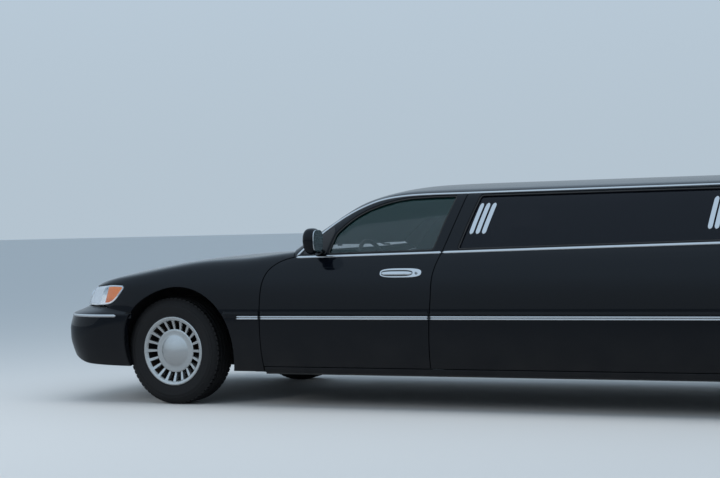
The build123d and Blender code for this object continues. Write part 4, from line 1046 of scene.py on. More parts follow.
def paneMaterial(name, tint, clear, rough=0.01, glance=0.35, ior=1.5):
    # thin glass, see-through square on and mirror-like at a glance
    m = bpy.data.materials.new(name)
    m.use_nodes = True
    tree = m.node_tree
    surface = tree.nodes["Principled BSDF"]
    coord = node(tree, "ShaderNodeTexCoord")
    haze = node(tree, "ShaderNodeTexNoise", {0: coord.outputs["Object"]}, in_2=5.0, in_3=4.0)
    film = node(tree, "ShaderNodeMapRange", {0: haze.outputs[0]}, in_3=rough, in_4=rough + 0.035)
    tree.links.new(film.outputs[0], surface.inputs["Roughness"])
    facing = node(tree, "ShaderNodeLayerWeight")
    facing.inputs[0].default_value = glance
    solid = node(tree, "ShaderNodeMapRange", {0: facing.outputs["Fresnel"]}, in_3=clear, in_4=1.0)
    tree.links.new(solid.outputs[0], surface.inputs["Alpha"])
    surface.inputs["Base Color"].default_value = colour(tint)
    surface.inputs["IOR"].default_value = ior
    m.diffuse_color = colour(tint, 0.5)
    return m


clearGlass = paneMaterial("clearGlass", (0.02, 0.035, 0.03), 0.1, glance=0.25, ior=2.8)
greenGlass = paneMaterial("greenGlass", (0.008, 0.04, 0.038), 0.24, ior=2.5)
darkGlass = paneMaterial("darkGlass", (0.004, 0.005, 0.008), 0.93, glance=0.2, ior=1.36)
# the pale tint that shows where the lens turns away from view is a painted reflection
lensGlass = paneMaterial("lampLens", (0.6, 0.65, 0.7), 0.05, glance=0.1, ior=2.6)

glassSettings = {"sink": 0.013, "thick": 0.004, "overlap": 0.008, "sealWidth": 0.011, "sealHeight": 0.007}


def pane(view, loop, sink=None):
    s = glassSettings
    return sheet(view, grow(loop, s["overlap"]), rim=0.001, thick=s["thick"], step=0.06, edge=0.02,
                 sink=s["sink"] if sink is None else sink)


def sealRing(view, loop, inset=0.003, sink=0.006):
    s = glassSettings
    path = view["cast"](resample(grow(loop, -inset), 0.012))
    up = slopeOf(view["field"], path)
    return sweep(path - up * sink, up, oval(s["sealWidth"] / 2, s["sealHeight"] / 2, 10), closed=True)


for sideName, sign in bothSides:
    for where, glass in (("front", greenGlass), ("rear", darkGlass)):
        door = f"door_{where}_{sideName}"
        place(f"{where}DoorGlass.{sideName}", sided(pane(side, windowLoops[where]), sign), glass, door,
              "tinted_glass" if where == "front" else "dark_glass", [f"glass_{where}_{sideName}"])
        place(f"{where}DoorSeal.{sideName}", sided(sealRing(side, windowLoops[where]), sign), sealRubber, door,
              "trim_plastic")
panes = joined(*(pane(side, windowLoops[key]) for key in ("stretchA", "stretchB")))
place("stretchGlass", mirrored(panes), darkGlass, finish="dark_glass", stands=["stretch_glass"])
rings = joined(*(sealRing(side, windowLoops[key]) for key in ("stretchA", "stretchB")))
place("stretchSeals", mirrored(rings), sealRubber, finish="trim_plastic")

cabinTop = topView(cabinField)
screenLow = smoothLine([(2.335, 0.745), (2.352, 0.7), (2.44, 0.45), (2.487, 0.0)])
screenLoop = bothHalves(np.vstack([screenTop, screenSide[1:], screenLow[1:]]), (1, -1))
place("windscreen", pane(cabinTop, screenLoop, 0.006), clearGlass, finish="clear_glass", stands=["windscreen"])
glassLow = smoothLine([(-3.12, lidHalf), (-3.165, 0.45), (-3.195, 0.0)])
backLoop = bothHalves(np.vstack([glassTop[::-1], glassEdge[1:], glassLow[1:]]), (1, -1))
place("rearWindow", pane(cabinTop, backLoop, 0.006), darkGlass, finish="dark_glass", stands=["rear_window"])
screenSeals = joined(sealRing(cabinTop, screenLoop, -0.001, 0.004), sealRing(cabinTop, backLoop, -0.001, 0.004))
place("screenSeals", screenSeals, sealRubber, finish="trim_plastic")
print("glass")


# Bright trim. Strips are split where they cross a shut line.

trims = {"belt": (0.018, 0.0075), "drip": (0.0155, 0.008), "line": (0.006, 0.0105), "lower": (0.0128, 0.0125),
         "mould": (0.046, 0.0085), "bar": (0.0285, 0.004), "bumper": (0.019, 0.0065), "swage": (0.007, 0.0022),
         "mouldLow": 0.577, "mouldHigh": 0.616, "shut": 0.0035}  # widths and heights, then places


def beltAt(x):
    return np.interp(-np.asarray(x), [-2.31, 0.45, 1.5, 4.0], [0.955, 0.997, 1.001, 1.001])


def strip(view, flatPath, width, height, ends=(True, True), base=-0.002, sections=9):
    path = view["cast"](np.array(flatPath, float))
    up = slopeOf(view["field"], path)
    size = taper(len(path), distances(path)[-1], ends)
    return sweep(path, up, roundSection(width, height, sections, base), grow=size)


def seamX(seamLine, z):  # where a shut line is at a height
    order = np.argsort(seamLine[:, 1])
    return float(np.interp(z, seamLine[order, 1], seamLine[order, 0]))


def runAlong(x0, x1, height, step=0.015):  # flat path along the side at a height that may vary
    x = np.arange(x0, x1, -step)
    x = np.append(x, x1)
    z = height(x) if callable(height) else np.full(len(x), height)
    return np.column_stack([x, z])


def splitRuns(height, start, end):  # the runs of a strip on each body, from nose to tail
    z = lambda x: float(height(np.array([x]))[0]) if callable(height) else height
    cuts = [("car_body", seamX(doorFrontSeam[:-12], z(2.4))), ("door_front", seamX(doorRearSeam, z(1.3))),
            ("car_body", seamX(rearFrontSeam, z(-1.75)))]
    runs, at = [], start
    for body, x in cuts:
        if at > x:
            runs.append((body, at, x + trims["shut"]))
            at = x - trims["shut"]
    back = rearDoorBackSeam[rearDoorBackSeam[:, 0] < -2.3]
    level = z(-2.5)
    near = back[np.abs(back[:, 1] - level).argmin()]
    runs.append(("door_rear", at, near[0] + trims["shut"]))
    if end < near[0]:
        runs.append(("car_body", near[0] - trims["shut"], end))
    return runs


fixedTrim, doorTrim = [], {"door_front": [], "door_rear": []}
fixedBlack, doorBlack = [], {"door_front": [], "door_rear": []}


def keep(shape, body, black=False):  # collect a strip with what else its body carries
    if body == "car_body":
        (fixedBlack if black else fixedTrim).append(shape)
    else:
        (doorBlack if black else doorTrim)[body].append(shape)


beltStart = 2.285
for body, x0, x1 in splitRuns(beltAt, beltStart, -3.06):
    if body == "door_front":
        x0 = beltStart
    if x1 < x0 and not (body == "car_body" and x0 > 2.2):
        keep(strip(side, runAlong(x0, x1, beltAt), *trims["belt"]), body)
mouldZ = 0.585
mouldStart = frontArch[0] - math.sqrt(frontArch[2] ** 2 - (mouldZ - frontArch[1]) ** 2)
mouldEnd = rearArch[0] + math.sqrt(seams["rearDoorArch"] ** 2 - (mouldZ - rearArch[1]) ** 2)
for body, x0, x1 in splitRuns(mouldZ, mouldStart - 0.004, mouldEnd + 0.008):
    middle = 0.5 * (trims["mouldLow"] + trims["mouldHigh"])
    keep(strip(bodySide, runAlong(x0, x1, middle), *trims["mould"]), body, black=True)
    for dz in (-0.0066, 0.0066):
        keep(strip(bodySide, runAlong(min(x0, 2.69), x1, trims["mouldLow"] + dz), *trims["lower"]), body)
    keep(strip(bodySide, runAlong(x0, x1, trims["mouldHigh"]), *trims["line"]), body, black=True)
swageAt = lambda x: beltAt(x) - 0.068
for body, x0, x1 in splitRuns(swageAt, 2.44, -2.95):
    keep(strip(side, runAlong(x0, x1, swageAt), *trims["swage"]), body, black=True)

doorTop3 = side["cast"](doorTopSeam)
drip3 = top["cast"](dripLine)
dripXs = np.concatenate([np.arange(2.286, 1.402, -0.012), np.arange(1.402, -2.245, -0.05)])
lowEdge, roofEdge = (np.column_stack([np.interp(-dripXs, -line[:, 0], line[:, k]) for k in range(3)])
                     for line in (doorTop3, drip3))
lowEdge[dripXs < 1.18, 1:] = side["cast"](np.array([(0.0, 1.331)]))[0, 1:]
dripMiddle = 0.42 * lowEdge + 0.58 * roofEdge
tailDrip = side["cast"](np.column_stack([rearDoorBackSeam[:, 0] - 0.01, rearDoorBackSeam[:, 1] + 0.01])[
    rearDoorBackSeam[:, 1] > 0.99])
dripPath = np.vstack([dripMiddle, tailDrip[1:]])
keep(sweep(dripPath, slopeOf(skinField, dripPath), roundSection(*trims["drip"], 9, -0.003),
           grow=taper(len(dripPath), distances(dripPath)[-1])), "car_body")

barTop, barLow = 1.27, 1.082
barSets = {0.036: [1.064, 1.022, 0.98], 0.018: [-0.416, -0.456, -0.496], -0.018: [-1.51, -1.55, -1.59]}
glassBars = []
barRows = np.concatenate([[0, 0.012, 0.04, 0.09, 0.16], np.linspace(0.25, 0.75, 6), [0.84, 0.91, 0.96, 0.988, 1]])
barEnds = np.clip(np.sqrt(1 - np.clip(1 - np.minimum(barRows, 1 - barRows) / 0.09, 0, 0.985) ** 2), 0.15, 1)
for lean, group in barSets.items():
    for x in group:
        path = np.array([(x, barTop)]) + barRows[:, None] * [[lean, barLow - barTop]]
        spot = side["cast"](path)
        up = slopeOf(skinField, spot)
        glassBars.append(sweep(spot - up * (glassSettings["sink"] - 0.001), up,
                               roundSection(*trims["bar"], 7, 0.0), grow=barEnds))

bumperTrim = []
for ends in (bumperFront, bumperRear):
    path = ends["cast"](np.column_stack([np.radians(np.linspace(57.6, -57.6, 220)), np.full(220, 0.588)]))
    bumperTrim.append(sweep(path, slopeOf(bumperField, path), roundSection(*trims["bumper"], 9, -0.002),
                            grow=taper(220, 3.2)))
place("brightTrim", joined(mirrored(joined(*fixedTrim)), *bumperTrim), chrome, finish="chrome")
place("glassBars", mirrored(joined(*glassBars)), chrome, finish="chrome")
place("sideMoulding", mirrored(joined(*fixedBlack)), paint, finish="paint")

# Door handles: a recessed cup, a stepped paddle and a bright frame
handle = {"length": 0.285, "low": 0.822, "high": 0.878}


def ovalLoop(x0, x1, z0, z1, power=3.2, count=72):
    t = np.linspace(0, 2 * math.pi, count, endpoint=False)
    c, s = np.cos(t), np.sin(t)
    return np.column_stack([(x0 + x1) / 2 + (x1 - x0) / 2 * rounded(c, 2 / power),
                            (z0 + z1) / 2 + (z1 - z0) / 2 * rounded(s, 2 / power)])


def doorHandle(x1):  # x1 is its rear end
    x0, low, high = x1 + handle["length"], handle["low"], handle["high"]
    hole = ovalLoop(x1 + 0.06, x0 - 0.01, low + 0.01, high - 0.012)
    frameShape = sheet(bodySide, ovalLoop(x1, x0, low, high), [hole], thick=0.01, step=0.02, edge=0.006, sink=-0.006)
    paddle = sheet(bodySide, ovalLoop(x1 + 0.062, x0 - 0.012, low + 0.013, high - 0.018), rim=0.006, thick=0.012,
                   step=0.02, edge=0.006, sink=-0.01)
    lipX = np.linspace(x0 - 0.03, x1 + 0.08, 24)
    lip = strip(bodySide, [(x, low + 0.019) for x in lipX], 0.01, 0.01, base=0.006)
    lock = lathe([(0.0, 0.004), (0.0085, 0.004), (0.0105, 0.001), (0.0105, -0.006), (0.0, -0.006)], 28)
    centre = bodySide["cast"](np.array([(x1 + 0.033, (low + high) / 2)]))[0] + [0, 0.008, 0]
    cup = panel(bodySide, ovalLoop(x1 + 0.058, x0 - 0.008, low + 0.008, high - 0.01), rim=0.002, thick=0.003,
                gap=0.0, edge=0.01, index=(1, 1))
    return joined(frameShape, paddle, lip, moved(lock, lambda p: np.add(p, centre)), cup)


for where, handleRear in (("front", seamX(doorRearSeam, 0.85) + 0.075), ("rear", -2.625 + 0.055)):
    shape = doorHandle(handleRear)
    for sideName, sign in bothSides:
        door = f"door_{where}_{sideName}"
        place(f"{where}Handle.{sideName}", sided(shape, sign), [chrome, blackTrim], door, "chrome")
        bright, dark = joined(*doorTrim[f"door_{where}"]), joined(*doorBlack[f"door_{where}"])
        place(f"{where}DoorTrim.{sideName}", sided(bright, sign), chrome, door, "chrome")
        place(f"{where}DoorMoulding.{sideName}", sided(dark, sign), paint, door, "paint")
print("bright trim and handles")


# Lamps and grille

lampSettings = {"amberTop": 51.2, "amberLow": 50.0, "depth": 0.055, "splitZ": 0.718, "bowl": 0.046}
lampLoop = np.vstack([lampTopLine[::-1], lampRearLine[1:], lampLowLine[1:],
                      straightLine(lampLowLine[-1], lampTopLine[-1], step=0.012)[1:-1]])
lens = panel(noseView, lampLoop, rim=0.006, thick=0.004, gap=0.0035, edge=0.01, index=(0, 0))
amberAt = lambda z: np.interp(z, [0.66, 0.79], [lampSettings["amberLow"], lampSettings["amberTop"]])
amberLoop = np.vstack([lampTopLine[np.degrees(lampTopLine[:, 0]) > amberAt(0.79)][::-1], lampRearLine[1:],
                       lampLowLine[np.degrees(lampLowLine[:, 0]) > amberAt(0.66)][1:],
                       degrees([(amberAt(0.66), 0.657), (amberAt(0.79), 0.789)])])


def insetLoop(loop, distance, scale=(1.1, 1)):
    return grow(resample(np.array(loop, float) * scale, 0.008), -distance) / scale


def tray(view, loop, front, depth, wall=0.003):  # an open dish behind a lens, as a closed thin shell
    scale = np.array(view["scale"])
    ring = resample(loop * scale, 0.012)
    points, faces = fillLoops([ring], 0.03)
    skin = view["cast"](points / scale)
    up = slopeOf(view["field"], skin)
    shape, n = newShape(), len(ring)
    levels = [addPoints(shape, skin - up * d) for d in (front, depth, depth + wall)]
    around = 1 if areaOf(ring) > 0 else -1
    wider = view["cast"](grow(ring, wall)[::around] / scale)
    widerUp = slopeOf(view["field"], wider)
    outer = [addPoints(shape, wider - widerUp * d) for d in (front, depth + wall)]
    edges = (levels[1], levels[0], *outer, levels[2])
    turn = 1 if areaOf(points[faces[0]]) > 0 else -1
    for face in faces:
        a = face[::turn]
        addFace(shape, levels[1] + a)
        addFace(shape, levels[2] + a[::-1])
    for i in range(n):
        j = (i + 1) % n
        for a, b in zip(edges, edges[1:]):
            addFace(shape, (b + i, a + i, a + j, b + j)[::turn])
    return shape


def lampMaterial(name, low, high, rough, split=0.7, metallic=0.0, coat=0.0):  # ribbed, one tone above another
    m = bpy.data.materials.new(name)
    m.use_nodes = True
    tree = m.node_tree
    surface = tree.nodes["Principled BSDF"]
    coord = node(tree, "ShaderNodeTexCoord")
    parts = node(tree, "ShaderNodeSeparateXYZ", {0: coord.outputs["Object"]})
    rise = node(tree, "ShaderNodeMapRange", {0: parts.outputs[2]}, in_1=split - 0.006, in_2=split + 0.006)
    tree.links.new(mixColour(tree, rise.outputs[0], colour(low), colour(high)), surface.inputs["Base Color"])
    wave = node(tree, "ShaderNodeTexWave", {0: coord.outputs["Object"]}, in_1=38.0, in_2=0.0)
    relief = node(tree, "ShaderNodeBump", {"Height": wave.outputs[0]})
    relief.inputs["Strength"].default_value = 0.35
    relief.inputs["Distance"].default_value = 0.002
    tree.links.new(relief.outputs[0], surface.inputs["Normal"])
    surface.inputs["Roughness"].default_value = rough
    surface.inputs["Metallic"].default_value = metallic
    surface.inputs["Coat Weight"].default_value = coat
    return m


# the reflector's near-white tone below the split height and blue-grey tone above it are painted reflection
reflector = lampMaterial("lampReflector", (0.92, 0.94, 0.96), (0.52, 0.62, 0.7), 0.22,
                         lampSettings["splitZ"], 0.15)
amberLens = lampMaterial("amberLens", (0.6, 0.125, 0.004), (0.7, 0.17, 0.008), 0.16, coat=0.2)
redLens = lampMaterial("redLens", (0.42, 0.008, 0.008), (0.5, 0.012, 0.01), 0.12, coat=0.7)
whiteLens = lampMaterial("whiteLens", (0.8, 0.82, 0.84), (0.72, 0.75, 0.78), 0.12, coat=0.7)

dish = tray(noseView, insetLoop(lampLoop, 0.01), 0.006, lampSettings["depth"])
amber = sheet(noseView, insetLoop(amberLoop, 0.007), rim=0.004, thick=0.014, edge=0.01, sink=0.006)
path = noseView["cast"](insetLoop(lampLoop, 0.0085))
up = slopeOf(bodyField, path)
surround = sweep(path - up * 0.0055, up, roundSection(0.013, 0.004, 7, -0.003), closed=True)
bowls, size = [], lampSettings["bowl"]
for y in (0.42, 0.6):
    x, y, z = noseView["cast"](np.array([(math.atan2(y, 1.05), 0.7)]))[0]
    profile = [(size * t, -0.052 + 0.042 * t * t) for t in np.linspace(0.12, 1, 9)]
    profile += [(size * 1.04, -0.01), (size * 1.04, -0.055), (0.005, -0.058)]
    bowls.append(facingX(lathe(profile, 36), (x - 0.012, y, z)))
    bulb = lathe([(0.0, 0.0), (0.005, -0.002), (0.007, -0.01), (0.006, -0.03), (0.009, -0.034), (0.0, -0.036)], 16)
    bowls.append(facingX(bulb, (x - 0.03, y, z)))
place("headlampLens", mirrored(lens), lensGlass, finish="lamp_glass", stands=["headlamps"])
place("headlampDish", mirrored(joined(dish, surround)), reflector, finish="chrome")
place("headlampBowls", mirrored(joined(*bowls)), chrome, finish="chrome")
place("sideLamps", mirrored(amber), amberLens, finish="lamp_glass")

grille = {"half": 0.262, "low": 0.612, "reach": 1.17, "finHalf": 0.215, "fins": 15}
lampEdge, finEdge = math.radians(14.5), math.atan2(grille["half"], grille["reach"]) - 0.012
fillLoop = np.vstack([straightLine((-lampEdge, 0.743), (-0.1, 0.7375), (0.0, 0.7365), (0.1, 0.7375),
                                   (lampEdge, 0.743)),
                      straightLine((lampEdge, 0.743), (lampEdge, grille["low"]), (-lampEdge, grille["low"]),
                                   (-lampEdge, 0.743))[1:-1]])
finHole = straightLine((-finEdge, 0.722), (finEdge, 0.722), (finEdge, 0.624), (-finEdge, 0.624),
                       (-finEdge, 0.722))[:-1]
grilleFrame = panel(noseView, fillLoop, [roundCorners(finHole, 0.02)], rim=0.007, thick=0.03, gap=0.003,
                    edge=0.01, sink=-0.003, index=(0, 0))
fins = []
for y in np.linspace(-grille["finHalf"], grille["finHalf"], grille["fins"]):
    foot = noseView["cast"](np.array([(math.atan2(y, grille["reach"]), z) for z in np.linspace(0.618, 0.728, 8)]))
    up = slopeOf(bodyField, foot)
    fins.append(sweep(foot - up * 0.018, up, [(-0.005, -0.014), (-0.0055, 0.006), (-0.003, 0.0145),
                                              (0.003, 0.0145), (0.0055, 0.006), (0.005, -0.014)]))
net = panel(noseView, finHole, rim=0.002, thick=0.004, gap=-0.01, step=0.05, edge=0.03, sink=0.036, index=(0, 0))
place("grille", joined(grilleFrame, *fins), chrome, finish="chrome", stands=["grille"])
place("grilleNet", net, blackTrim, finish="trim_plastic")

tailLoop = np.vstack([tailView["flat"](tailLampTop), tailView["flat"](tailLampFront)[1:],
                      straightLine(*degrees([(43.5, 0.608), (21.6, 0.608)]))[1:],
                      straightLine(*degrees([(21.6, 0.608), (21.6, 0.686), (31.2, 0.686), (32.1, 0.853)]))[1:-1]])
tailShell = panel(tailView, tailLoop, rim=0.006, thick=0.04, gap=0.003, edge=0.01, index=(0, 0))
place("tailLamps", mirrored(tailShell), redLens, finish="red_lens", stands=["tail_lamps"])
reverseLoop = insetLoop(degrees([(22.4, 0.618), (22.4, 0.676), (29.5, 0.676), (29.5, 0.618)]), 0.0)
reverse = sheet(tailView, reverseLoop, thick=0.006, edge=0.01, sink=-0.003)
place("reverseLamps", mirrored(reverse), whiteLens, finish="lamp_glass")
bandLoop = straightLine(*degrees([(-29.8, 0.722), (-29.8, 0.786), (29.8, 0.786), (29.8, 0.722),
                                  (-29.8, 0.722)]))[:-1]
band = sheet(tailView, bandLoop, rim=0.004, step=0.05, edge=0.02, sink=-0.005)
place("lidReflector", band, redLens, "trunk_lid", "red_lens")
tailPanelLoop = straightLine(*degrees([(-21.2, 0.688), (21.2, 0.688), (21.2, 0.607), (-21.2, 0.607),
                                       (-21.2, 0.688)]))[:-1]
tailPanel = panel(tailView, tailPanelLoop, rim=0.003, thick=0.006, gap=0.001, step=0.05, index=(0, 1))
place("tailPanel", tailPanel, [paint, underseal], finish="paint")
print("lamps and grille")


# Wheels and tyres

wheelSettings = {"slots": 20, "pocket": 0.034, "blocks": 66, "grooves": (-0.057, -0.02, 0.02, 0.057),
                 "grooveWidth": 0.0085, "grooveDepth": 0.0075, "shoulder": 0.06, "crown": 0.4}


def tyreShape():
    s = wheelSettings
    outer = [(0.2125, 0.086), (0.217, 0.0945), (0.226, 0.0985), (0.231, 0.1025), (0.236, 0.1015), (0.25, 0.1065),
             (0.268, 0.1105), (0.286, 0.1115), (0.2875, 0.112), (0.2905, 0.112), (0.292, 0.1112), (0.306, 0.1085),
             (0.3075, 0.1092), (0.31, 0.109), (0.3115, 0.107), (0.324, 0.102), (0.3345, 0.0955),
             (0.3415, 0.088)]  # the side wall, radius and half width
    across = [0.0865, 0.084]
    for g in sorted(s["grooves"], reverse=True):
        w = s["grooveWidth"] / 2
        across += [g + w, g + w * 0.8, g - w * 0.8, g - w]
    across += [-0.084, -0.0865]
    rows, angles = [], []
    for i in range(s["blocks"]):
        for part, cut in ((0.0, 0), (0.74, 0), (0.78, 1), (0.96, 1)):
            angles.append(2 * math.pi * (i + part) / s["blocks"])
            tread = []
            for k, y in enumerate(across):
                inGroove = 2 <= k < len(across) - 2 and (k - 2) % 4 in (1, 2)
                depth = s["grooveDepth"] if inGroove or cut and abs(y) > s["shoulder"] else 0.0
                tread.append((tyreRadius - s["crown"] * y * y - depth, y))
            rows.append(outer + tread + [(r, -y) for r, y in outer[::-1]] + [(0.2105, -0.08), (0.2105, 0.08)])
    return turned(rows, angles, closed=True)


def coverShape():
    s = wheelSettings
    radii = [0.0, 0.012, 0.03, 0.055, 0.08, 0.094, 0.0975, 0.0995, 0.102, 0.1045, 0.107, 0.118, 0.13, 0.1375,
             0.141, 0.1425, 0.147, 0.157, 0.178, 0.19, 0.2, 0.206, 0.2095, 0.2125, 0.2165, 0.2205, 0.2245,
             0.2275, 0.2285, 0.227, 0.22]
    face = [0.1085, 0.1082, 0.107, 0.1052, 0.103, 0.1016, 0.1009, 0.0999, 0.0996, 0.0998, 0.1002, 0.1003, 0.1,
            0.0996, 0.098, 0.0965, 0.096, 0.096, 0.0962, 0.0966, 0.0972, 0.0978, 0.0985, 0.0998, 0.1015, 0.1022,
            0.1015, 0.099, 0.096, 0.093, 0.092]
    steps = [0.0, 0.09, 0.15, 0.18, 0.21, 0.33, 0.5, 0.67, 0.79, 0.82, 0.85, 0.91]
    rows, angles = [], []
    for i in range(s["slots"]):
        for t in steps:
            inside = float(ease((min(t, 1 - t) - 0.155) / 0.055))
            row = []
            for r, y in zip(radii, face):
                fall = float(np.interp(r, [0.1425, 0.145, 0.176, 0.19, 0.198, 0.205], [0, 1, 1.0, 0.5, 0.1, 0]))
                dish = float(np.interp(r, [0.0, 0.03, 0.06, 0.094, 0.112, 0.15, 0.2, 0.206],
                                       [0.01, 0.011, 0.016, 0.024, 0.028, 0.026, 0.006, 0.0]))
                row.append((r, y - dish - s["pocket"] * inside * fall))
            rows.append(row + [(0.218, 0.08), (0.204, 0.044), (0.145, 0.028)])
            angles.append(2 * math.pi * (i + t) / s["slots"])
    n = len(steps)
    # faces on the pocket floors take the second material, near black: painted shade in the recesses
    dark = lambda k, i: 1 if 15 <= k <= 19 and 3 <= i % n <= 7 else 0
    return turned(rows, angles, dark)


def rimShape():
    ring = [(0.2115, 0.078), (0.2115, 0.09), (0.216, 0.0945), (0.22, 0.09), (0.218, 0.0845), (0.213, 0.078),
            (0.206, 0.07), (0.19, 0.054), (0.19, -0.05), (0.206, -0.072), (0.2115, -0.086),
            (0.216, -0.0945), (0.22, -0.09), (0.216, -0.099), (0.208, -0.094), (0.2, -0.074),
            (0.184, -0.048), (0.184, 0.052), (0.2, 0.076)]
    web = [(0.185, 0.04), (0.185, 0.034), (0.16, 0.022), (0.12, 0.024), (0.07, 0.036), (0.04, 0.042),
           (0.04, 0.048), (0.07, 0.042), (0.12, 0.03), (0.16, 0.028)]
    angles = np.linspace(0, 2 * math.pi, 96, endpoint=False)
    return joined(*(turned([outline[::-1]] * 96, angles, closed=True) for outline in (ring, web)))


tyreRubber = finish("tyreRubber", grainGroup, (0.009, 0.009, 0.01), 0.66, variation=0.4, scale=260.0, bump=0.2,
                    wornColour=(0.022, 0.021, 0.02), shader={"Specular IOR Level": 0.3})
# near-black material for the cover's pocket floors: painted shade where the recesses are in shadow
pocketPaintedShade = finish("coverPocket", metalGroup, (0.004, 0.004, 0.004), 0.8, stain=0.1, bump=0.05,
                     shader={"Specular IOR Level": 0.1})
tyreMade, coverMade, rimMade = tyreShape(), coverShape(), rimShape()
for axle in ("front", "rear"):
    for sideName, sign in bothSides:
        name = f"{axle}_{sideName}"
        hub = joints[f"wheel_{name}_spin"]
        for label, shape, skins, slotName in (("Tyre", tyreMade, tyreRubber, "tyre"),
                                              ("Cover", coverMade, [satinSilver, pocketPaintedShade], "wheel_silver"),
                                              ("Rim", rimMade, steel, "steel")):
            shape = moved(joined(sided(shape, sign)), lambda p: np.add(p, hub))
            stands = {"Tyre": [f"tyre_{name}"], "Cover": [f"wheel_{name}"]}.get(label, [])
            place(f"{axle}{label}.{sideName}", shape, skins, f"wheel_{name}", slotName, stands, sharp=28)
print("wheels")


# Door mirrors

mirrorSettings = {"centre": (2.101, 0.998, 1.058), "half": (0.046, 0.073, 0.082), "power": 2.7, "rear": 2.066}


def mirrorShapes():
    s = mirrorSettings
    c, h = np.array(s["centre"]), np.array(s["half"])
    signedPower = lambda v: rounded(v, 2 / s["power"])
    shape = newShape()
    rows, columns = 28, 56
    for i in range(1, rows):
        v = math.pi * i / rows - math.pi / 2
        ring = []
        for j in range(columns):
            u = 2 * math.pi * j / columns
            d = np.array([signedPower(math.cos(v)) * signedPower(math.cos(u)),
                          signedPower(math.cos(v)) * signedPower(math.sin(u)), signedPower(math.sin(v))])
            slim = 1 - 0.16 * max(-d[2], 0) - 0.08 * max(d[1], 0) * max(-d[2], 0)
            p = c + h * d * [1.0, slim, 1.0]
            if p[0] < s["rear"]:
                p[0] = s["rear"] - 0.15 * (s["rear"] - p[0])
            ring.append(p)
        addPoints(shape, ring)
    low, high = addPoints(shape, [c - [0, 0, h[2]]]), addPoints(shape, [c + [0, 0, h[2]]])
    for i in range(rows - 2):
        ribbon(shape, i * columns, (i + 1) * columns, columns)
    for j in range(columns):
        k = (j + 1) % columns
        addFace(shape, (low, k, j))
        addFace(shape, (high, (rows - 2) * columns + j, (rows - 2) * columns + k))
    n = 48
    t = np.linspace(0, 2 * math.pi, n, endpoint=False)
    y, z = -0.001 + 0.06 * rounded(np.cos(t), 0.6), 0.002 + 0.068 * rounded(np.sin(t), 0.6)
    glass = newShape()
    for x, size in ((0.004, 1.0), (-0.0005, 1.0), (-0.0015, 0.985)):
        addPoints(glass, np.column_stack([np.full(n, s["rear"] - 0.0075 + x), c[1] + y * size, c[2] + z * size]))
    ribbon(glass, n, 0, n)
    ribbon(glass, 2 * n, n, n)
    addFace(glass, range(n))
    addFace(glass, range(2 * n, 3 * n)[::-1])
    path = smoothLine([(2.118, 0.862, 0.985), (2.112, 0.905, 0.992), (2.104, 0.95, 1.008)])
    arm = sweep(path, np.tile((0.0, 0.2, 1.0), (len(path), 1)), oval(0.036, 0.02, 20))
    return shape, glass, arm


sailLoop = roundCorners(straightLine((2.078, 0.972), (2.25, 0.968), (2.205, 1.02), (2.145, 1.078), (2.058, 1.14),
                                     (2.04, 1.108), (2.078, 0.972)), 0.01)
sail = sheet(side, sailLoop, step=0.04, edge=0.012, sink=-0.0035)
shellMade, glassMade, armMade = mirrorShapes()
mirrorGlass = finish("mirrorGlass", metalGroup, (0.72, 0.75, 0.77), 0.02, stain=0.02, shader={"Metallic": 1.0})
for sideName, sign in bothSides:
    door = f"door_front_{sideName}"
    place(f"mirrorShell.{sideName}", sided(joined(shellMade, armMade), sign), paint, door, "paint")
    place(f"mirrorGlass.{sideName}", sided(glassMade, sign), mirrorGlass, door, "chrome")
    place(f"mirrorSail.{sideName}", sided(sail, sign), blackTrim, door, "trim_plastic")
print("mirrors")


# Engine bay and wheel housings

bay = {"wallX": (2.537, 2.562), "apronY": (0.478, 0.498), "apronFront": 3.93, "railTop": 0.43,
       "liner": (3.18, 0.36, 0.472), "rearLiner": (-2.81, 0.36, 0.4045)}  # arches as x, z, radius


def sheetBetween(rowA, rowB, thick):  # a thin closed band between two lines
    a, b = np.array(rowA, float), np.array(rowB, float)
    out = unit(np.cross(np.gradient(a, axis=0), b - a))
    shape, n = newShape(), len(a)
    edges = [addPoints(shape, rows) for rows in (a, b, b - out * thick, a - out * thick)]
    for p, q in zip(edges, edges[1:] + edges[:1]):
        ribbon(shape, q, p, n, closed=False)
    addFace(shape, edges)
    addFace(shape, [edge + n - 1 for edge in edges[::-1]])
    return shape


def arcRow(arch, y, start, end, extra=0.0, count=60):
    x, z, radius = arch
    a = np.radians(np.linspace(start, end, count))
    radius += extra
    return np.column_stack([x + radius * np.cos(a), np.full(count, y), z + radius * np.sin(a)])


def archSheet(arch, y0, y1, start, end, thick=0.004, extra=0.0):
    return sheetBetween(arcRow(arch, y0, start, end, extra), arcRow(arch, y1, start, end, extra), thick)


liner, rearLiner = bay["liner"], bay["rearLiner"]
skinEdge = bodySide["cast"](frontArchPoints(-12, 196, 0.006, 2.8))
skinEdge = np.array([np.interp(np.linspace(0, 1, 60), np.linspace(0, 1, len(skinEdge)), skinEdge[:, k])
                     for k in range(3)]).T - [0, 0.01, 0]
leftParts = [prism(arcRow(liner, 0.5, 44, 136, 0.003)[:, [0, 2]], 0.49, 0.504, 0.002, 0.004),
             archSheet(liner, 0.5, 0.902, -12, 196),
             sheetBetween(arcRow(liner, 0.902, -12, 196), skinEdge, 0.003),
             archSheet(rearLiner, 0.7, 0.934, 6, 174)]
for arch, y in ((liner, 0.6), (liner, 0.75), (rearLiner, 0.8)):
    leftParts.append(archSheet(arch, y, y + 0.03, 20, 160, 0.006, 0.004))
wallX0, wallX1 = bay["wallX"]
apron0, apron1 = bay["apronY"]
apronFront = bay["apronFront"]
half = seams["hoodHalf"] - 0.008
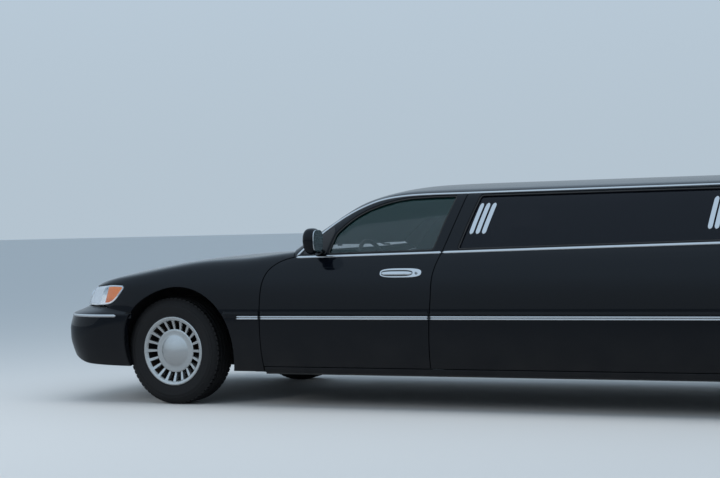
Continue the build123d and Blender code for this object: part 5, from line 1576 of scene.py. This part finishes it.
parts = [block((wallX0, -0.848, 0.245), (wallX1, 0.848, 0.9), 0.006),
         block((wallX0, -half, 0.85), (2.7, half, 0.864), 0.004),
         block((wallX0, -half, 0.85), (wallX1, half, 0.955), 0.006),
         block((3.89, -0.6, bay["railTop"]), (apronFront, 0.6, 0.47), 0.006),
         block((3.89, -0.6, 0.605), (apronFront, 0.6, 0.64), 0.006)]
parts += [block((wallX1 - 0.002, y - 0.02, 0.3), (wallX1 + 0.008, y + 0.02, 0.83), 0.004)
          for y in (-0.62, -0.36, 0.36, 0.62)]
for x0, x1, z0 in ((wallX1, 3.14, bay["railTop"]), (3.14, 3.32, 0.525), (3.32, apronFront, bay["railTop"])):
    leftParts.append(block((x0 - 0.001, apron0, z0), (x1 + 0.001, apron1, 0.7), 0.003))
leftParts += [block((wallX1, 0.462, 0.69), (apronFront, 0.52, 0.704), 0.004),
              block((3.89, 0.56, bay["railTop"]), (apronFront, 0.6, 0.64), 0.006),
              block((2.402, 0.79, 0.34), (2.622, 0.855, 0.895), 0.008),
              block((2.515, 0.8, 0.255), (2.622, 0.9, 0.345), 0.008),
              block((2.44, 0.79, 0.2265), (2.6, 0.918, 0.258), 0.004),
              block((wallX1, apron0, 0.227), (3.11, apron1, 0.44), 0.003),
              block((3.35, apron0, 0.29), (3.6, apron1, 0.44), 0.003)]
for z in (0.42, 0.76):  # door hinge leaves
    leftParts += [block((2.448, 0.85, z - 0.032), (2.464, 0.922, z + 0.032), 0.003),
                  block((2.43, 0.85, z - 0.04), (2.5, 0.86, z + 0.04), 0.003)]
parts.append(mirrored(joined(*leftParts)))
place("engineBay", joined(*parts), underseal, finish="underseal", stands=["engine_bay"])
cowlFins = []
for x in 2.517 + 0.017 * np.arange(4):
    path = bodyTop["cast"](np.column_stack([np.full(40, x), np.linspace(-0.6, 0.6, 40)]))
    cowlFins.append(sweep(path - [0, 0, 0.004], slopeOf(bodyField, path), roundSection(0.008, 0.004, 5, -0.001)))
wipers = []
for y0 in (0.42, -0.12):
    line = smoothLine([(2.512, y0), (2.5, y0 - 0.08), (2.455, y0 - 0.3), (2.43, y0 - 0.48)])
    spot = top["cast"](line) + [0, 0, 0.014]
    wipers.append(sweep(spot, (0, 0, 1), [(-0.006, -0.003), (-0.004, 0.005), (0.004, 0.005), (0.006, -0.003)],
                        grow=np.linspace(1.2, 0.55, len(spot))))
    blade = top["cast"](smoothLine([(line[-1, 0] + 0.01, line[-1, 1] + 0.26), tuple(line[-1]),
                                    (line[-1, 0] + 0.004, line[-1, 1] - 0.12)])) + [0, 0, 0.008]
    wipers.append(sweep(blade, (0, 0, 1), [(-0.003, -0.007), (-0.005, 0.004), (0.005, 0.004), (0.003, -0.007)]))
    boss = lathe([(0.0, 0.01), (0.012, 0.008), (0.016, -0.004), (0.016, -0.02), (0.0, -0.02)], 20)
    wipers.append(moved(boss, lambda p: (2.512 + p[0], y0 + p[2], spot[0, 2] + p[1])))
place("cowl", joined(cowl, *cowlFins), [blackTrim, underseal], finish="trim_plastic")
place("wipers", joined(*wipers), blackTrim, finish="trim_plastic")

engineParts = [block((2.7, -0.2, 0.3), (3.46, 0.2, 0.56), 0.02),
               block((2.66, -0.17, 0.36), (2.72, 0.17, 0.6), 0.02)]
for sign in (1, -1):
    engineParts += [block((2.74, sign * 0.13, 0.54), (3.36, sign * 0.27, 0.66), 0.03),
                    block((2.76, sign * 0.14, 0.655), (3.34, sign * 0.26, 0.7), 0.02)]
    for k in range(4):
        x = 2.82 + k * 0.145
        run = smoothLine([(x, sign * 0.2, 0.69), (x, sign * 0.17, 0.755), (x, sign * 0.09, 0.785), (x, 0.0, 0.76)])
        engineParts.append(sweep(run, (1, 0, 0), tube(0.026, 14)))
engineParts.append(block((2.78, -0.075, 0.7), (3.32, 0.075, 0.785), 0.03))
pulleys = []
for y, z, r in ((0.0, 0.42, 0.075), (0.14, 0.56, 0.045), (-0.14, 0.54, 0.055), (0.0, 0.66, 0.05)):
    disc = lathe([(0.0, 0.02), (r * 0.5, 0.02), (r * 0.55, 0.006), (r * 0.85, 0.006), (r, 0.02), (r, 0.014),
                  (r * 0.94, 0.01), (r, 0.004), (r, -0.01), (0.0, -0.01)], 40)
    pulleys.append(facingX(disc, (3.475, y, z)))
beltX = 3.482
belt = smoothLine([(beltX, y, z) for y, z in ((0.075, 0.42), (0.19, 0.57), (0.11, 0.61), (0.04, 0.7), (-0.04, 0.7),
                                              (-0.17, 0.6), (-0.19, 0.53), (-0.075, 0.4), (0.0, 0.344),
                                              (0.065, 0.38))])
pulleys.append(sweep(belt, belt - [beltX, 0.0, 0.52],
                     [(-0.01, -0.002), (0.01, -0.002), (0.01, 0.002), (-0.01, 0.002)], closed=True))
place("engine", joined(*engineParts), castIron, finish="cast_iron", stands=["engine_block"])
place("enginePulleys", joined(*pulleys), blackTrim, finish="trim_plastic")
airBox = [block((3.44, 0.3, 0.5), (3.78, 0.455, 0.7), 0.025),
          block((3.42, -0.455, 0.46), (3.72, -0.29, 0.66), 0.012),
          block((2.58, 0.24, 0.7), (2.68, 0.42, 0.82), 0.02),
          block((2.58, -0.44, 0.66), (2.7, -0.28, 0.8), 0.03)]
duct = smoothLine([(3.5, 0.36, 0.68), (3.44, 0.3, 0.735), (3.36, 0.12, 0.755), (3.28, 0.02, 0.75)])
airBox.append(sweep(duct, (0, 0, 1), tube(0.034, 18)))
for start, end in (((3.86, -0.42, 0.6), (3.47, -0.06, 0.68)), ((3.86, 0.4, 0.45), (3.47, 0.1, 0.4))):
    middle = ((start[0] + end[0]) / 2, (start[1] + end[1]) / 2, max(start[2], end[2]) + 0.03)
    airBox.append(sweep(smoothLine([start, middle, end]), (0, 0, 1), tube(0.018, 14)))
radiator = [block((3.855, -0.5, 0.44), (3.885, 0.5, 0.635), 0.004)]
for y in np.linspace(-0.47, 0.47, 48):
    radiator.append(block((3.884, y - 0.002, 0.455), (3.8895, y + 0.002, 0.62), 0.0008))
place("bayParts", joined(*airBox), blackTrim, finish="trim_plastic")
place("radiator", joined(*radiator), steel, finish="steel")
print("engine bay and wheel housings")


# Pieces that keep their CAD shape

keptNodes = {"floor_pan": underseal, "boot_tub": underseal, "chassis_frame": chassisPaint,
             "front_suspension": chassisPaint, "rear_axle": castIron, "knuckle_left": castIron,
             "knuckle_right": castIron, "exhaust": steel, "fuel_tank": steel, "partition": dashPlastic}
for name, material in keptNodes.items():
    for materialSlot in frame["nodes"][name].material_slots:
        materialSlot.link = "OBJECT"
        materialSlot.material = material
print("kept pieces")


# Cabin

def torusOn(centre, axis, major, minor, count=72):  # a round ring about a slanted axis
    axis = np.array(axis, float) / np.linalg.norm(axis)
    first = np.cross(axis, (0, 1.0, 0))
    first /= np.linalg.norm(first)
    second = np.cross(axis, first)
    t = np.linspace(0, 2 * math.pi, count, endpoint=False)[:, None]
    out = np.cos(t) * first + np.sin(t) * second
    return sweep(np.array(centre) + out * major, out, tube(minor, 14), closed=True)


dash = {"profile": [(2.538, 0.645), (2.538, 0.845), (2.49, 0.912), (2.37, 0.922), (2.165, 0.888), (2.143, 0.8),
                    (2.24, 0.645)], "half": 0.765, "hub": (1.982, 0.38, 0.865), "rim": 0.182}
dashParts = [prism(dash["profile"], -dash["half"], dash["half"], 0.012, 0.03)]
dashParts.append(prism([(2.3, 0.86), (2.3, 0.935), (2.18, 0.945), (2.125, 0.925), (2.125, 0.905), (2.2, 0.85)],
                       0.215, 0.545, 0.012, 0.018))
dashParts.append(prism([(2.2, 0.46), (2.2, 0.88), (2.13, 0.872), (2.112, 0.7), (2.14, 0.46)], -0.145, 0.145,
                       0.01))
dashParts.append(prism([(2.16, 0.775), (2.16, 0.815), (2.128, 0.812), (2.128, 0.778)], -0.7, -0.2, 0.006, 0.006))
for y0, y1 in ((-0.71, -0.56), (-0.4, -0.25), (0.58, 0.71), (-0.125, -0.01), (0.01, 0.125)):
    for z in np.arange(0.825, 0.862, 0.011):
        dashParts.append(block((2.118, y0, z), (2.165, y1, z + 0.0045), 0.0015))
hubAxis = np.array([-0.9505, 0.0, 0.3107])
column = np.linspace((2.2, 0.38, 0.772), (2.01, 0.38, 0.856), 12)
dashParts.append(sweep(column, (0, 0, 1), oval(0.03, 0.026, 18)))
wheelHub = np.array(dash["hub"])
steering = [torusOn(wheelHub, hubAxis, dash["rim"], 0.0135)]
sideways = np.array([0.0, 1.0, 0.0])
inPlane = np.cross(hubAxis, sideways)
for way in (sideways, -sideways, inPlane * (1 if inPlane[2] < 0 else -1)):  # the spokes
    path = wheelHub + way * np.linspace(0.02, 0.176, 12)[:, None] - hubAxis * 0.004
    steering.append(sweep(path, hubAxis, [(-0.016, -0.006), (-0.012, 0.007), (0.012, 0.007), (0.016, -0.006)],
                          grow=np.linspace(1.6, 0.9, 12)))
pad = lathe([(0.0, 0.024), (0.03, 0.022), (0.056, 0.012), (0.064, -0.004), (0.058, -0.016), (0.0, -0.018)], 40)
steering.append(moved(pad, lambda p: wheelHub + hubAxis * p[1] + sideways * p[0] * 1.15 + inPlane * p[2]))
for y in (0.228, 0.532):
    steering.append(sweep(np.linspace((2.045, 0.38, 0.845), (2.035, y, 0.857), 10), (0, 0, 1), tube(0.0055, 10)))
place("dashboard", joined(*dashParts), dashPlastic, finish="trim_plastic", stands=["dashboard"])
place("steeringWheel", joined(*steering), leather, finish="leather")
insideMirror = [block((1.985, -0.105, 1.215), (2.005, 0.105, 1.27), 0.009),
                block((1.995, -0.012, 1.25), (2.02, 0.012, 1.3), 0.005)]
place("insideMirror", joined(*insideMirror), blackTrim, finish="trim_plastic")

padSettings = {"voxel": 0.0065, "pressure": 4.0, "cap": 0.02, "frames": 20, "seamDepth": 0.016, "seamWidth": 0.012,
               "kept": 0.3}


def padShape(size, seamsX=(), seamsY=(), crown=0.22):
    # a stuffed box: rounded edges, crowned top, sides pulled in between corners, sewn channels
    n = (30, 30, 8)
    shape, found = newShape(), {}
    half, s = np.array(size) / 2, padSettings

    def spot(p):
        key = tuple(np.round(p, 5))
        if key not in found:
            x, y, z = p
            rounder = (abs(x) ** 7 + abs(y) ** 7 + abs(z) ** 7) ** (-1 / 7)
            q = np.array([x, y, z]) * rounder
            q[0] *= 1 - 0.035 * (1 - y * y)
            q[1] *= 1 - 0.035 * (1 - x * x)
            if z > 0:
                q[2] += crown * (1 - x * x) * (1 - y * y) * z
            w = q * half
            for k, places in ((0, seamsX), (1, seamsY)):
                for c in places:
                    near = math.exp(-((w[k] - c) / s["seamWidth"]) ** 2)
                    if z > 0:
                        w[2] -= s["seamDepth"] * near * min(z * 1.6, 1)
            found[key] = addPoints(shape, [w])
        return found[key]

    for axis in range(3):
        p, q = [k for k in range(3) if k != axis]
        for end in (-1, 1):
            a, b = np.linspace(-1, 1, n[p] + 1), np.linspace(-1, 1, n[q] + 1)
            for i, j in product(range(n[p]), range(n[q])):
                corners = []
                for u, v in ((a[i], b[j]), (a[i + 1], b[j]), (a[i + 1], b[j + 1]), (a[i], b[j + 1])):
                    c = np.zeros(3)
                    c[axis], c[p], c[q] = end, u, v
                    corners.append(spot(c))
                flip = (end > 0) == (axis == 1)
                addFace(shape, corners[::-1] if flip else corners)
    return shape


def pointsOf(mesh):
    rows = np.zeros(len(mesh.vertices) * 3)
    mesh.vertices.foreach_get("co", rows)
    return rows.reshape(-1, 3)


def meshNow(obj):  # the object's mesh with its modifiers
    return bpy.data.meshes.new_from_object(obj.evaluated_get(bpy.context.evaluated_depsgraph_get()))


def stuffed(name, shape, seamsX=(), seamsY=()):  # swell the pad by a short cloth simulation, seams and base held
    s = padSettings
    mesh = meshOf(name, shape)
    obj = bpy.data.objects.new(name, mesh)
    scene.collection.objects.link(obj)
    remesh = obj.modifiers.new("voxels", "REMESH")
    remesh.mode, remesh.voxel_size = "VOXEL", s["voxel"]
    even = meshNow(obj)
    obj.modifiers.clear()
    obj.data = even
    rest = pointsOf(even)
    held = rest[:, 2] < rest[:, 2].min() + 0.35 * (rest[:, 2].max() - rest[:, 2].min())
    top = rest[:, 2] > 0
    for k, places in ((0, seamsX), (1, seamsY)):
        for c in places:
            held |= top & (np.abs(rest[:, k] - c) < s["seamWidth"] * 0.45)
    group = obj.vertex_groups.new(name="held")
    group.add([int(i) for i in np.flatnonzero(held)], 1.0, "REPLACE")
    cloth = obj.modifiers.new("cloth", "CLOTH")
    cloth.settings.use_pressure = True
    cloth.settings.uniform_pressure_force = s["pressure"]
    cloth.settings.quality = 4
    cloth.settings.vertex_group_mass = "held"
    cloth.settings.effector_weights.gravity = 0
    cloth.collision_settings.use_collision = False
    for f in range(1, s["frames"] + 1):
        scene.frame_set(f)
    swollen = meshNow(obj)
    move = pointsOf(swollen) - rest
    far = np.linalg.norm(move, axis=1)
    move *= np.minimum(1, s["cap"] / np.maximum(far, 1e-9))[:, None]
    swollen.vertices.foreach_set("co", (rest + move).ravel())
    obj.modifiers.clear()
    obj.data = swollen
    obj.modifiers.new("fewer", "DECIMATE").ratio = s["kept"]
    light = meshNow(obj)
    light.polygons.foreach_set("use_smooth", [True] * len(light.polygons))
    bpy.data.objects.remove(obj)
    scene.frame_set(1)
    return light


def padAt(mesh, moves):  # copies of a pad as one shape; each move is a turn and a place
    shape, points = newShape(), pointsOf(mesh)
    faces = [tuple(p.vertices) for p in mesh.polygons]
    for turn, spot in moves:
        start = addPoints(shape, points @ np.array(turn, float).T + np.array(spot, float))
        flip = np.linalg.det(turn) < 0
        for face in faces:
            corners = [start + c for c in face]
            addFace(shape, corners[::-1] if flip else corners)
    return shape


def facing(size, across, along, up):  # columns: where the pad's x, y and z point, with a scale for each
    return np.array([across, along, up]).T * size


seatSeams = (-0.135, 0.135)
flutes = (-0.12, -0.04, 0.04, 0.12)
seatPad = stuffed("seatPad", padShape((0.5, 0.52, 0.12), (), seatSeams), (), seatSeams)
backPad = stuffed("backPad", padShape((0.5, 0.52, 0.1), flutes, seatSeams), flutes, seatSeams)
benchPad = stuffed("benchPad", padShape((0.48, 0.6, 0.12), flutes, ()), flutes, ())
print("pads stuffed")
padFill, lean = 0.7, np.array([0.174, 0, -0.985])
for sideName, sign in bothSides:
    y = sign * 0.42
    cushion = padAt(seatPad, [(facing((0.98, 1, 1), (1, 0, 0.08), (0, 1, 0), (-0.08, 0, 1)), (1.615, y, 0.435))])
    back = padAt(backPad, [(facing((1.02, 1.0, 1.0), lean, (0, 1, 0), (0.985, 0, 0.174)), (1.352, y, 0.735)),
                           (facing((0.22, 0.52, 0.7), lean, (0, 1, 0), (0.985, 0, 0.174)), (1.298, y, 1.043))])
    base = [block((1.4, y - 0.235, 0.268), (1.84, y + 0.235, 0.385), 0.02),
            prism([(1.275, 0.5), (1.235, 1.06), (1.262, 1.075), (1.345, 0.5)], y - 0.235, y + 0.235, 0.012)]
    seatCushion = place(f"seatCushion.{sideName}", cushion, leather, finish="leather", stands=["front_seats"])
    place(f"seatBack.{sideName}", back, leather, finish="leather")
    place(f"seatBase.{sideName}", joined(*base), dashPlastic, finish="trim_plastic")
armRest = padAt(seatPad, [(facing((0.6, 0.36, 0.8), (1, 0, 0), (0, 1, 0), (0, 0, 1)), (1.6, 0.0, 0.52))])
place("armRest", armRest, leather, finish="leather")
place("console", joined(block((1.3, -0.1, 0.352), (2.11, 0.1, 0.46), 0.02)), dashPlastic, finish="trim_plastic")

lounge, loungeBacks = [], []
for k in range(4):
    x = -1.155 + k * 0.622
    turn = facing((0.8, 1.0, 0.8), (0, -0.1, 0.995), (1, 0, 0), (0, 0.995, 0.1))
    lounge.append((facing((0.96, 1.0, 1), (0, 1, 0), (1, 0, 0), (0, 0, 1)), (x, -0.52, 0.44)))
    loungeBacks.append((turn, (x, -0.735, 0.735)))
for k in range(3):
    y = -0.415 + k * 0.415
    turn = facing((0.9, 0.67, 1.0), (-0.2, 0, 0.98), (0, 1, 0), (0.98, 0, 0.2))
    lounge.append((facing((0.98, 0.67, 1), (1, 0, 0.06), (0, 1, 0), (-0.06, 0, 1)), (-2.285, y, 0.56)))
    loungeBacks.append((turn, (-2.495, y, 0.81)))
loungeCushions = place("loungeCushions", padAt(benchPad, lounge), leather, finish="leather", stands=["lounge_seats"])
place("loungeBacks", padAt(benchPad, loungeBacks), leather, finish="leather")
plinths = [block((-1.465, -0.775, 0.268), (1.018, -0.3, 0.385), 0.015),
           block((-1.465, -0.8, 0.268), (1.018, -0.765, 0.925), 0.012),
           block((-2.56, -0.625, 0.518), (-2.06, 0.625, 0.545), 0.01),
           prism([(-2.575, 0.52), (-2.64, 0.95), (-2.6, 0.955), (-2.545, 0.52)], -0.63, 0.63, 0.008, 0.01)]
place("loungeFrames", joined(*plinths), dashPlastic, finish="trim_plastic")

carpets, floorTop = [], 0.2625
for x0, x1 in ((1.112, 2.53), (-2.035, 1.07)):  # before and behind the partition
    carpets += [block((x0, -0.785, floorTop), (x1, -0.098, 0.272), 0.004),
                block((x0, 0.098, floorTop), (x1, 0.785, 0.272), 0.004),
                block((x0, -0.1, floorTop), (x1, 0.1, 0.358), 0.012)]
place("carpet", joined(*carpets), carpet, finish="trim_plastic")
linerLoop = straightLine((1.83, -0.57), (1.83, 0.57), (-2.42, 0.57), (-2.42, -0.57), (1.83, -0.57))[:-1]
headliner = sheet(top, roundCorners(linerLoop, 0.06), rim=0.006, thick=0.01, step=0.1, edge=0.05, sink=0.02)
place("headlining", headliner, headCloth, finish="trim_plastic")


def cardShape(loop, inner, relief=None):  # a trim panel from an upright inner face out to just inside the skin
    ring = resample(np.array(loop, float), 0.02)
    if areaOf(ring) > 0:
        ring = ring[::-1]
    points, faces = fillLoops([shrink(ring, -0.008)], 0.035)
    faces = evenly(points, faces)
    skin = side["cast"](points)[:, 1]
    y = np.minimum(inner, skin - 0.05) - (relief(points) if relief else 0)
    edgeY = side["cast"](ring)[:, 1] - 0.034
    shape, n = newShape(), len(ring)
    a = addPoints(shape, np.column_stack([points[:, 0], y, points[:, 1]]))
    mid = addPoints(shape, np.column_stack([ring[:, 0], y[:n] + 0.006, ring[:, 1]]))
    out = addPoints(shape, np.column_stack([ring[:, 0], np.maximum(edgeY, y[:n] + 0.01), ring[:, 1]]))
    b = addPoints(shape, np.column_stack([points[:, 0], np.maximum(skin - 0.034, y + 0.01), points[:, 1]]))
    for face in faces:
        addFace(shape, a + face, index=1)
        addFace(shape, b + face[::-1], index=0)
    for i in range(n):
        j = (i + 1) % n
        for p, q, tag in ((a, mid, 1), (mid, out, 0), (out, b, 0)):
            addFace(shape, (p + i, q + i, q + j, p + j), index=tag)
    return shape


def doorRelief(x0, x1):  # the arm rest, a pocket and a sewn line, within the door's depth
    def relief(p):
        x, z = p.T
        arm = ease((x - x0) / 0.05) * ease((x1 - x) / 0.05) * ease(1 - np.abs(z - 0.7) / 0.055)
        pocket = ease((x - x0) / 0.03) * ease((x1 - x) / 0.03) * ease((z - 0.33) / 0.02) * ease((0.46 - z) / 0.02)
        return 0.004 * arm - 0.018 * pocket - 0.01 * (1 - arm) * ease((z - 0.5) / 0.02)
    return relief


frontCard = straightLine((2.432, 0.292), (2.47, 0.6), (2.452, 0.72), (2.4, 0.86), (2.3, 0.92), (2.1, 0.948),
                         (1.33, 0.96), (1.345, 0.72), (1.36, 0.292), (2.432, 0.292))[:-1]
rearCard = np.vstack([straightLine((-1.775, 0.292), (-1.775, 0.7), (-1.8, 0.985), (-2.66, 0.985), (-2.6, 0.88),
                                   (-2.46, 0.74))[:-1],
                      arcPoints(rearArch[:2], seams["rearDoorArch"] + 0.03, 46, 3, 4),
                      straightLine((-2.3, 0.33), (-2.29, 0.292), (-1.775, 0.292))[:-1]])
stretchCard = straightLine((1.25, 0.272), (1.225, 0.6), (1.205, 0.955), (-1.69, 0.985), (-1.69, 0.272),
                           (1.25, 0.272))[:-1]
cards = {"front": cardShape(roundCorners(frontCard, 0.02), 0.88, doorRelief(1.45, 2.25)),
         "rear": cardShape(roundCorners(rearCard, 0.02), 0.88, doorRelief(-2.3, -1.86))}
for sideName, sign in bothSides:
    for where, card in cards.items():
        place(f"{where}DoorCard.{sideName}", sided(card, sign), [paint, dashPlastic], f"door_{where}_{sideName}",
              "trim_plastic")
place("stretchTrim", mirrored(cardShape(stretchCard, 0.806)), [paint, dashPlastic], finish="trim_plastic")
place("rearShelf", block((-3.02, -0.62, 0.952), (-2.6, 0.62, 0.968), 0.006), carpet, finish="trim_plastic")
print("cabin")


# Camera, floor and light

view = {"position": (-3.597, 11.083, 1.293), "yaw": 27.98, "pitch": -1.14, "roll": -1.81, "lens": 92.65}
yaw, pitch, roll = (math.radians(view[key]) for key in ("yaw", "pitch", "roll"))
ahead = Vector((math.sin(yaw) * math.cos(pitch), -math.cos(yaw) * math.cos(pitch), math.sin(pitch)))
right = ahead.cross(Vector((0, 0, 1))).normalized()
upward = right.cross(ahead)
across = math.cos(roll) * right + math.sin(roll) * upward
above = math.cos(roll) * upward - math.sin(roll) * right
camera = bpy.data.objects.new("camera", bpy.data.cameras.new("camera"))
camera.data.sensor_width, camera.data.lens = 36.0, view["lens"]
camera.data.clip_end = 300
camera.matrix_world = Matrix([*zip(across, above, -ahead, view["position"]), (0, 0, 0, 1)])
scene.collection.objects.link(camera)
scene.camera = camera

studio = {"floor": (0.62, 0.62, 0.61), "paleLow": (0.46, 0.55, 0.63), "paleHigh": (0.6, 0.77, 0.95),
          "ambient": 0.82, "mirrored": 0.75, "floorDim": 0.65,
          "key": 240.0, "fill": 70.0, "top": 260.0}
floorMaterial = bpy.data.materials.new("studioFloor")
floorMaterial.use_nodes = True
tree = floorMaterial.node_tree
noise = node(tree, "ShaderNodeTexNoise", in_2=0.7, in_3=4.0)
tone = mixColour(tree, noise.outputs[0], colour(studio["floor"]), colour([c * 0.93 for c in studio["floor"]]))
# the floor turns dark grey where it is seen in reflections: painted shade for the ground in the car's shadow
rays = node(tree, "ShaderNodeLightPath")
reflectedShade = math2(tree, "MULTIPLY", rays.outputs["Is Glossy Ray"], studio["floorDim"])
surface = tree.nodes["Principled BSDF"]
tree.links.new(mixColour(tree, reflectedShade, tone, (0.05, 0.05, 0.055, 1)), surface.inputs["Base Color"])
surface.inputs["Roughness"].default_value = 0.75
floorMesh = bpy.data.meshes.new("floor")
floorMesh.from_pydata([(-60, -60, 0), (60, -60, 0), (60, 60, 0), (-60, 60, 0)], [], [(0, 1, 2, 3)])
floorMesh.materials.append(floorMaterial)
floor = bpy.data.objects.new("floor", floorMesh)
scene.collection.objects.link(floor)

world = bpy.data.worlds.new("studio")
scene.world = world
world.use_nodes = True
tree = world.node_tree
sky = tree.nodes["Background"]
direction = node(tree, "ShaderNodeTexCoord")
height = node(tree, "ShaderNodeSeparateXYZ", {0: direction.outputs["Generated"]})
rise = node(tree, "ShaderNodeMapRange", {0: height.outputs[2]}, in_1=-0.02, in_2=0.55)
rise.interpolation_type = "SMOOTHSTEP"
tree.links.new(mixColour(tree, rise.outputs[0], colour(studio["paleLow"]), colour(studio["paleHigh"])),
               sky.inputs["Color"])
rays = node(tree, "ShaderNodeLightPath")
seen = math2(tree, "MAXIMUM", rays.outputs["Is Camera Ray"], rays.outputs["Is Transmission Ray"])
level = node(tree, "ShaderNodeMapRange", {0: seen}, in_3=studio["ambient"], in_4=1.0)
mirrorLevel = node(tree, "ShaderNodeMapRange", {0: rays.outputs["Is Glossy Ray"], 3: level.outputs[0]},
                   in_4=studio["mirrored"])
tree.links.new(mirrorLevel.outputs[0], sky.inputs["Strength"])


def lamp(name, power, size, spot, aim):
    light = bpy.data.lights.new(name, "AREA")
    light.shape, light.size, light.size_y, light.energy = "RECTANGLE", size[0], size[1], power
    obj = bpy.data.objects.new(name, light)
    obj.location = spot
    obj.visible_glossy = name == "fill"
    obj.rotation_euler = (Vector(aim) - Vector(spot)).to_track_quat("-Z", "Y").to_euler()
    scene.collection.objects.link(obj)


lamp("overhead", studio["top"], (11, 4), (0, 1.0, 6.5), (0, 0, 0))
lamp("key", studio["key"], (6, 3), (7.5, 7.5, 4.5), (1.5, 0, 0.6))
lamp("fill", studio["fill"], (8, 3), (-8, -7, 4), (-1, 0, 0.6))
scene.view_settings.view_transform = "Standard"
print("camera and studio")
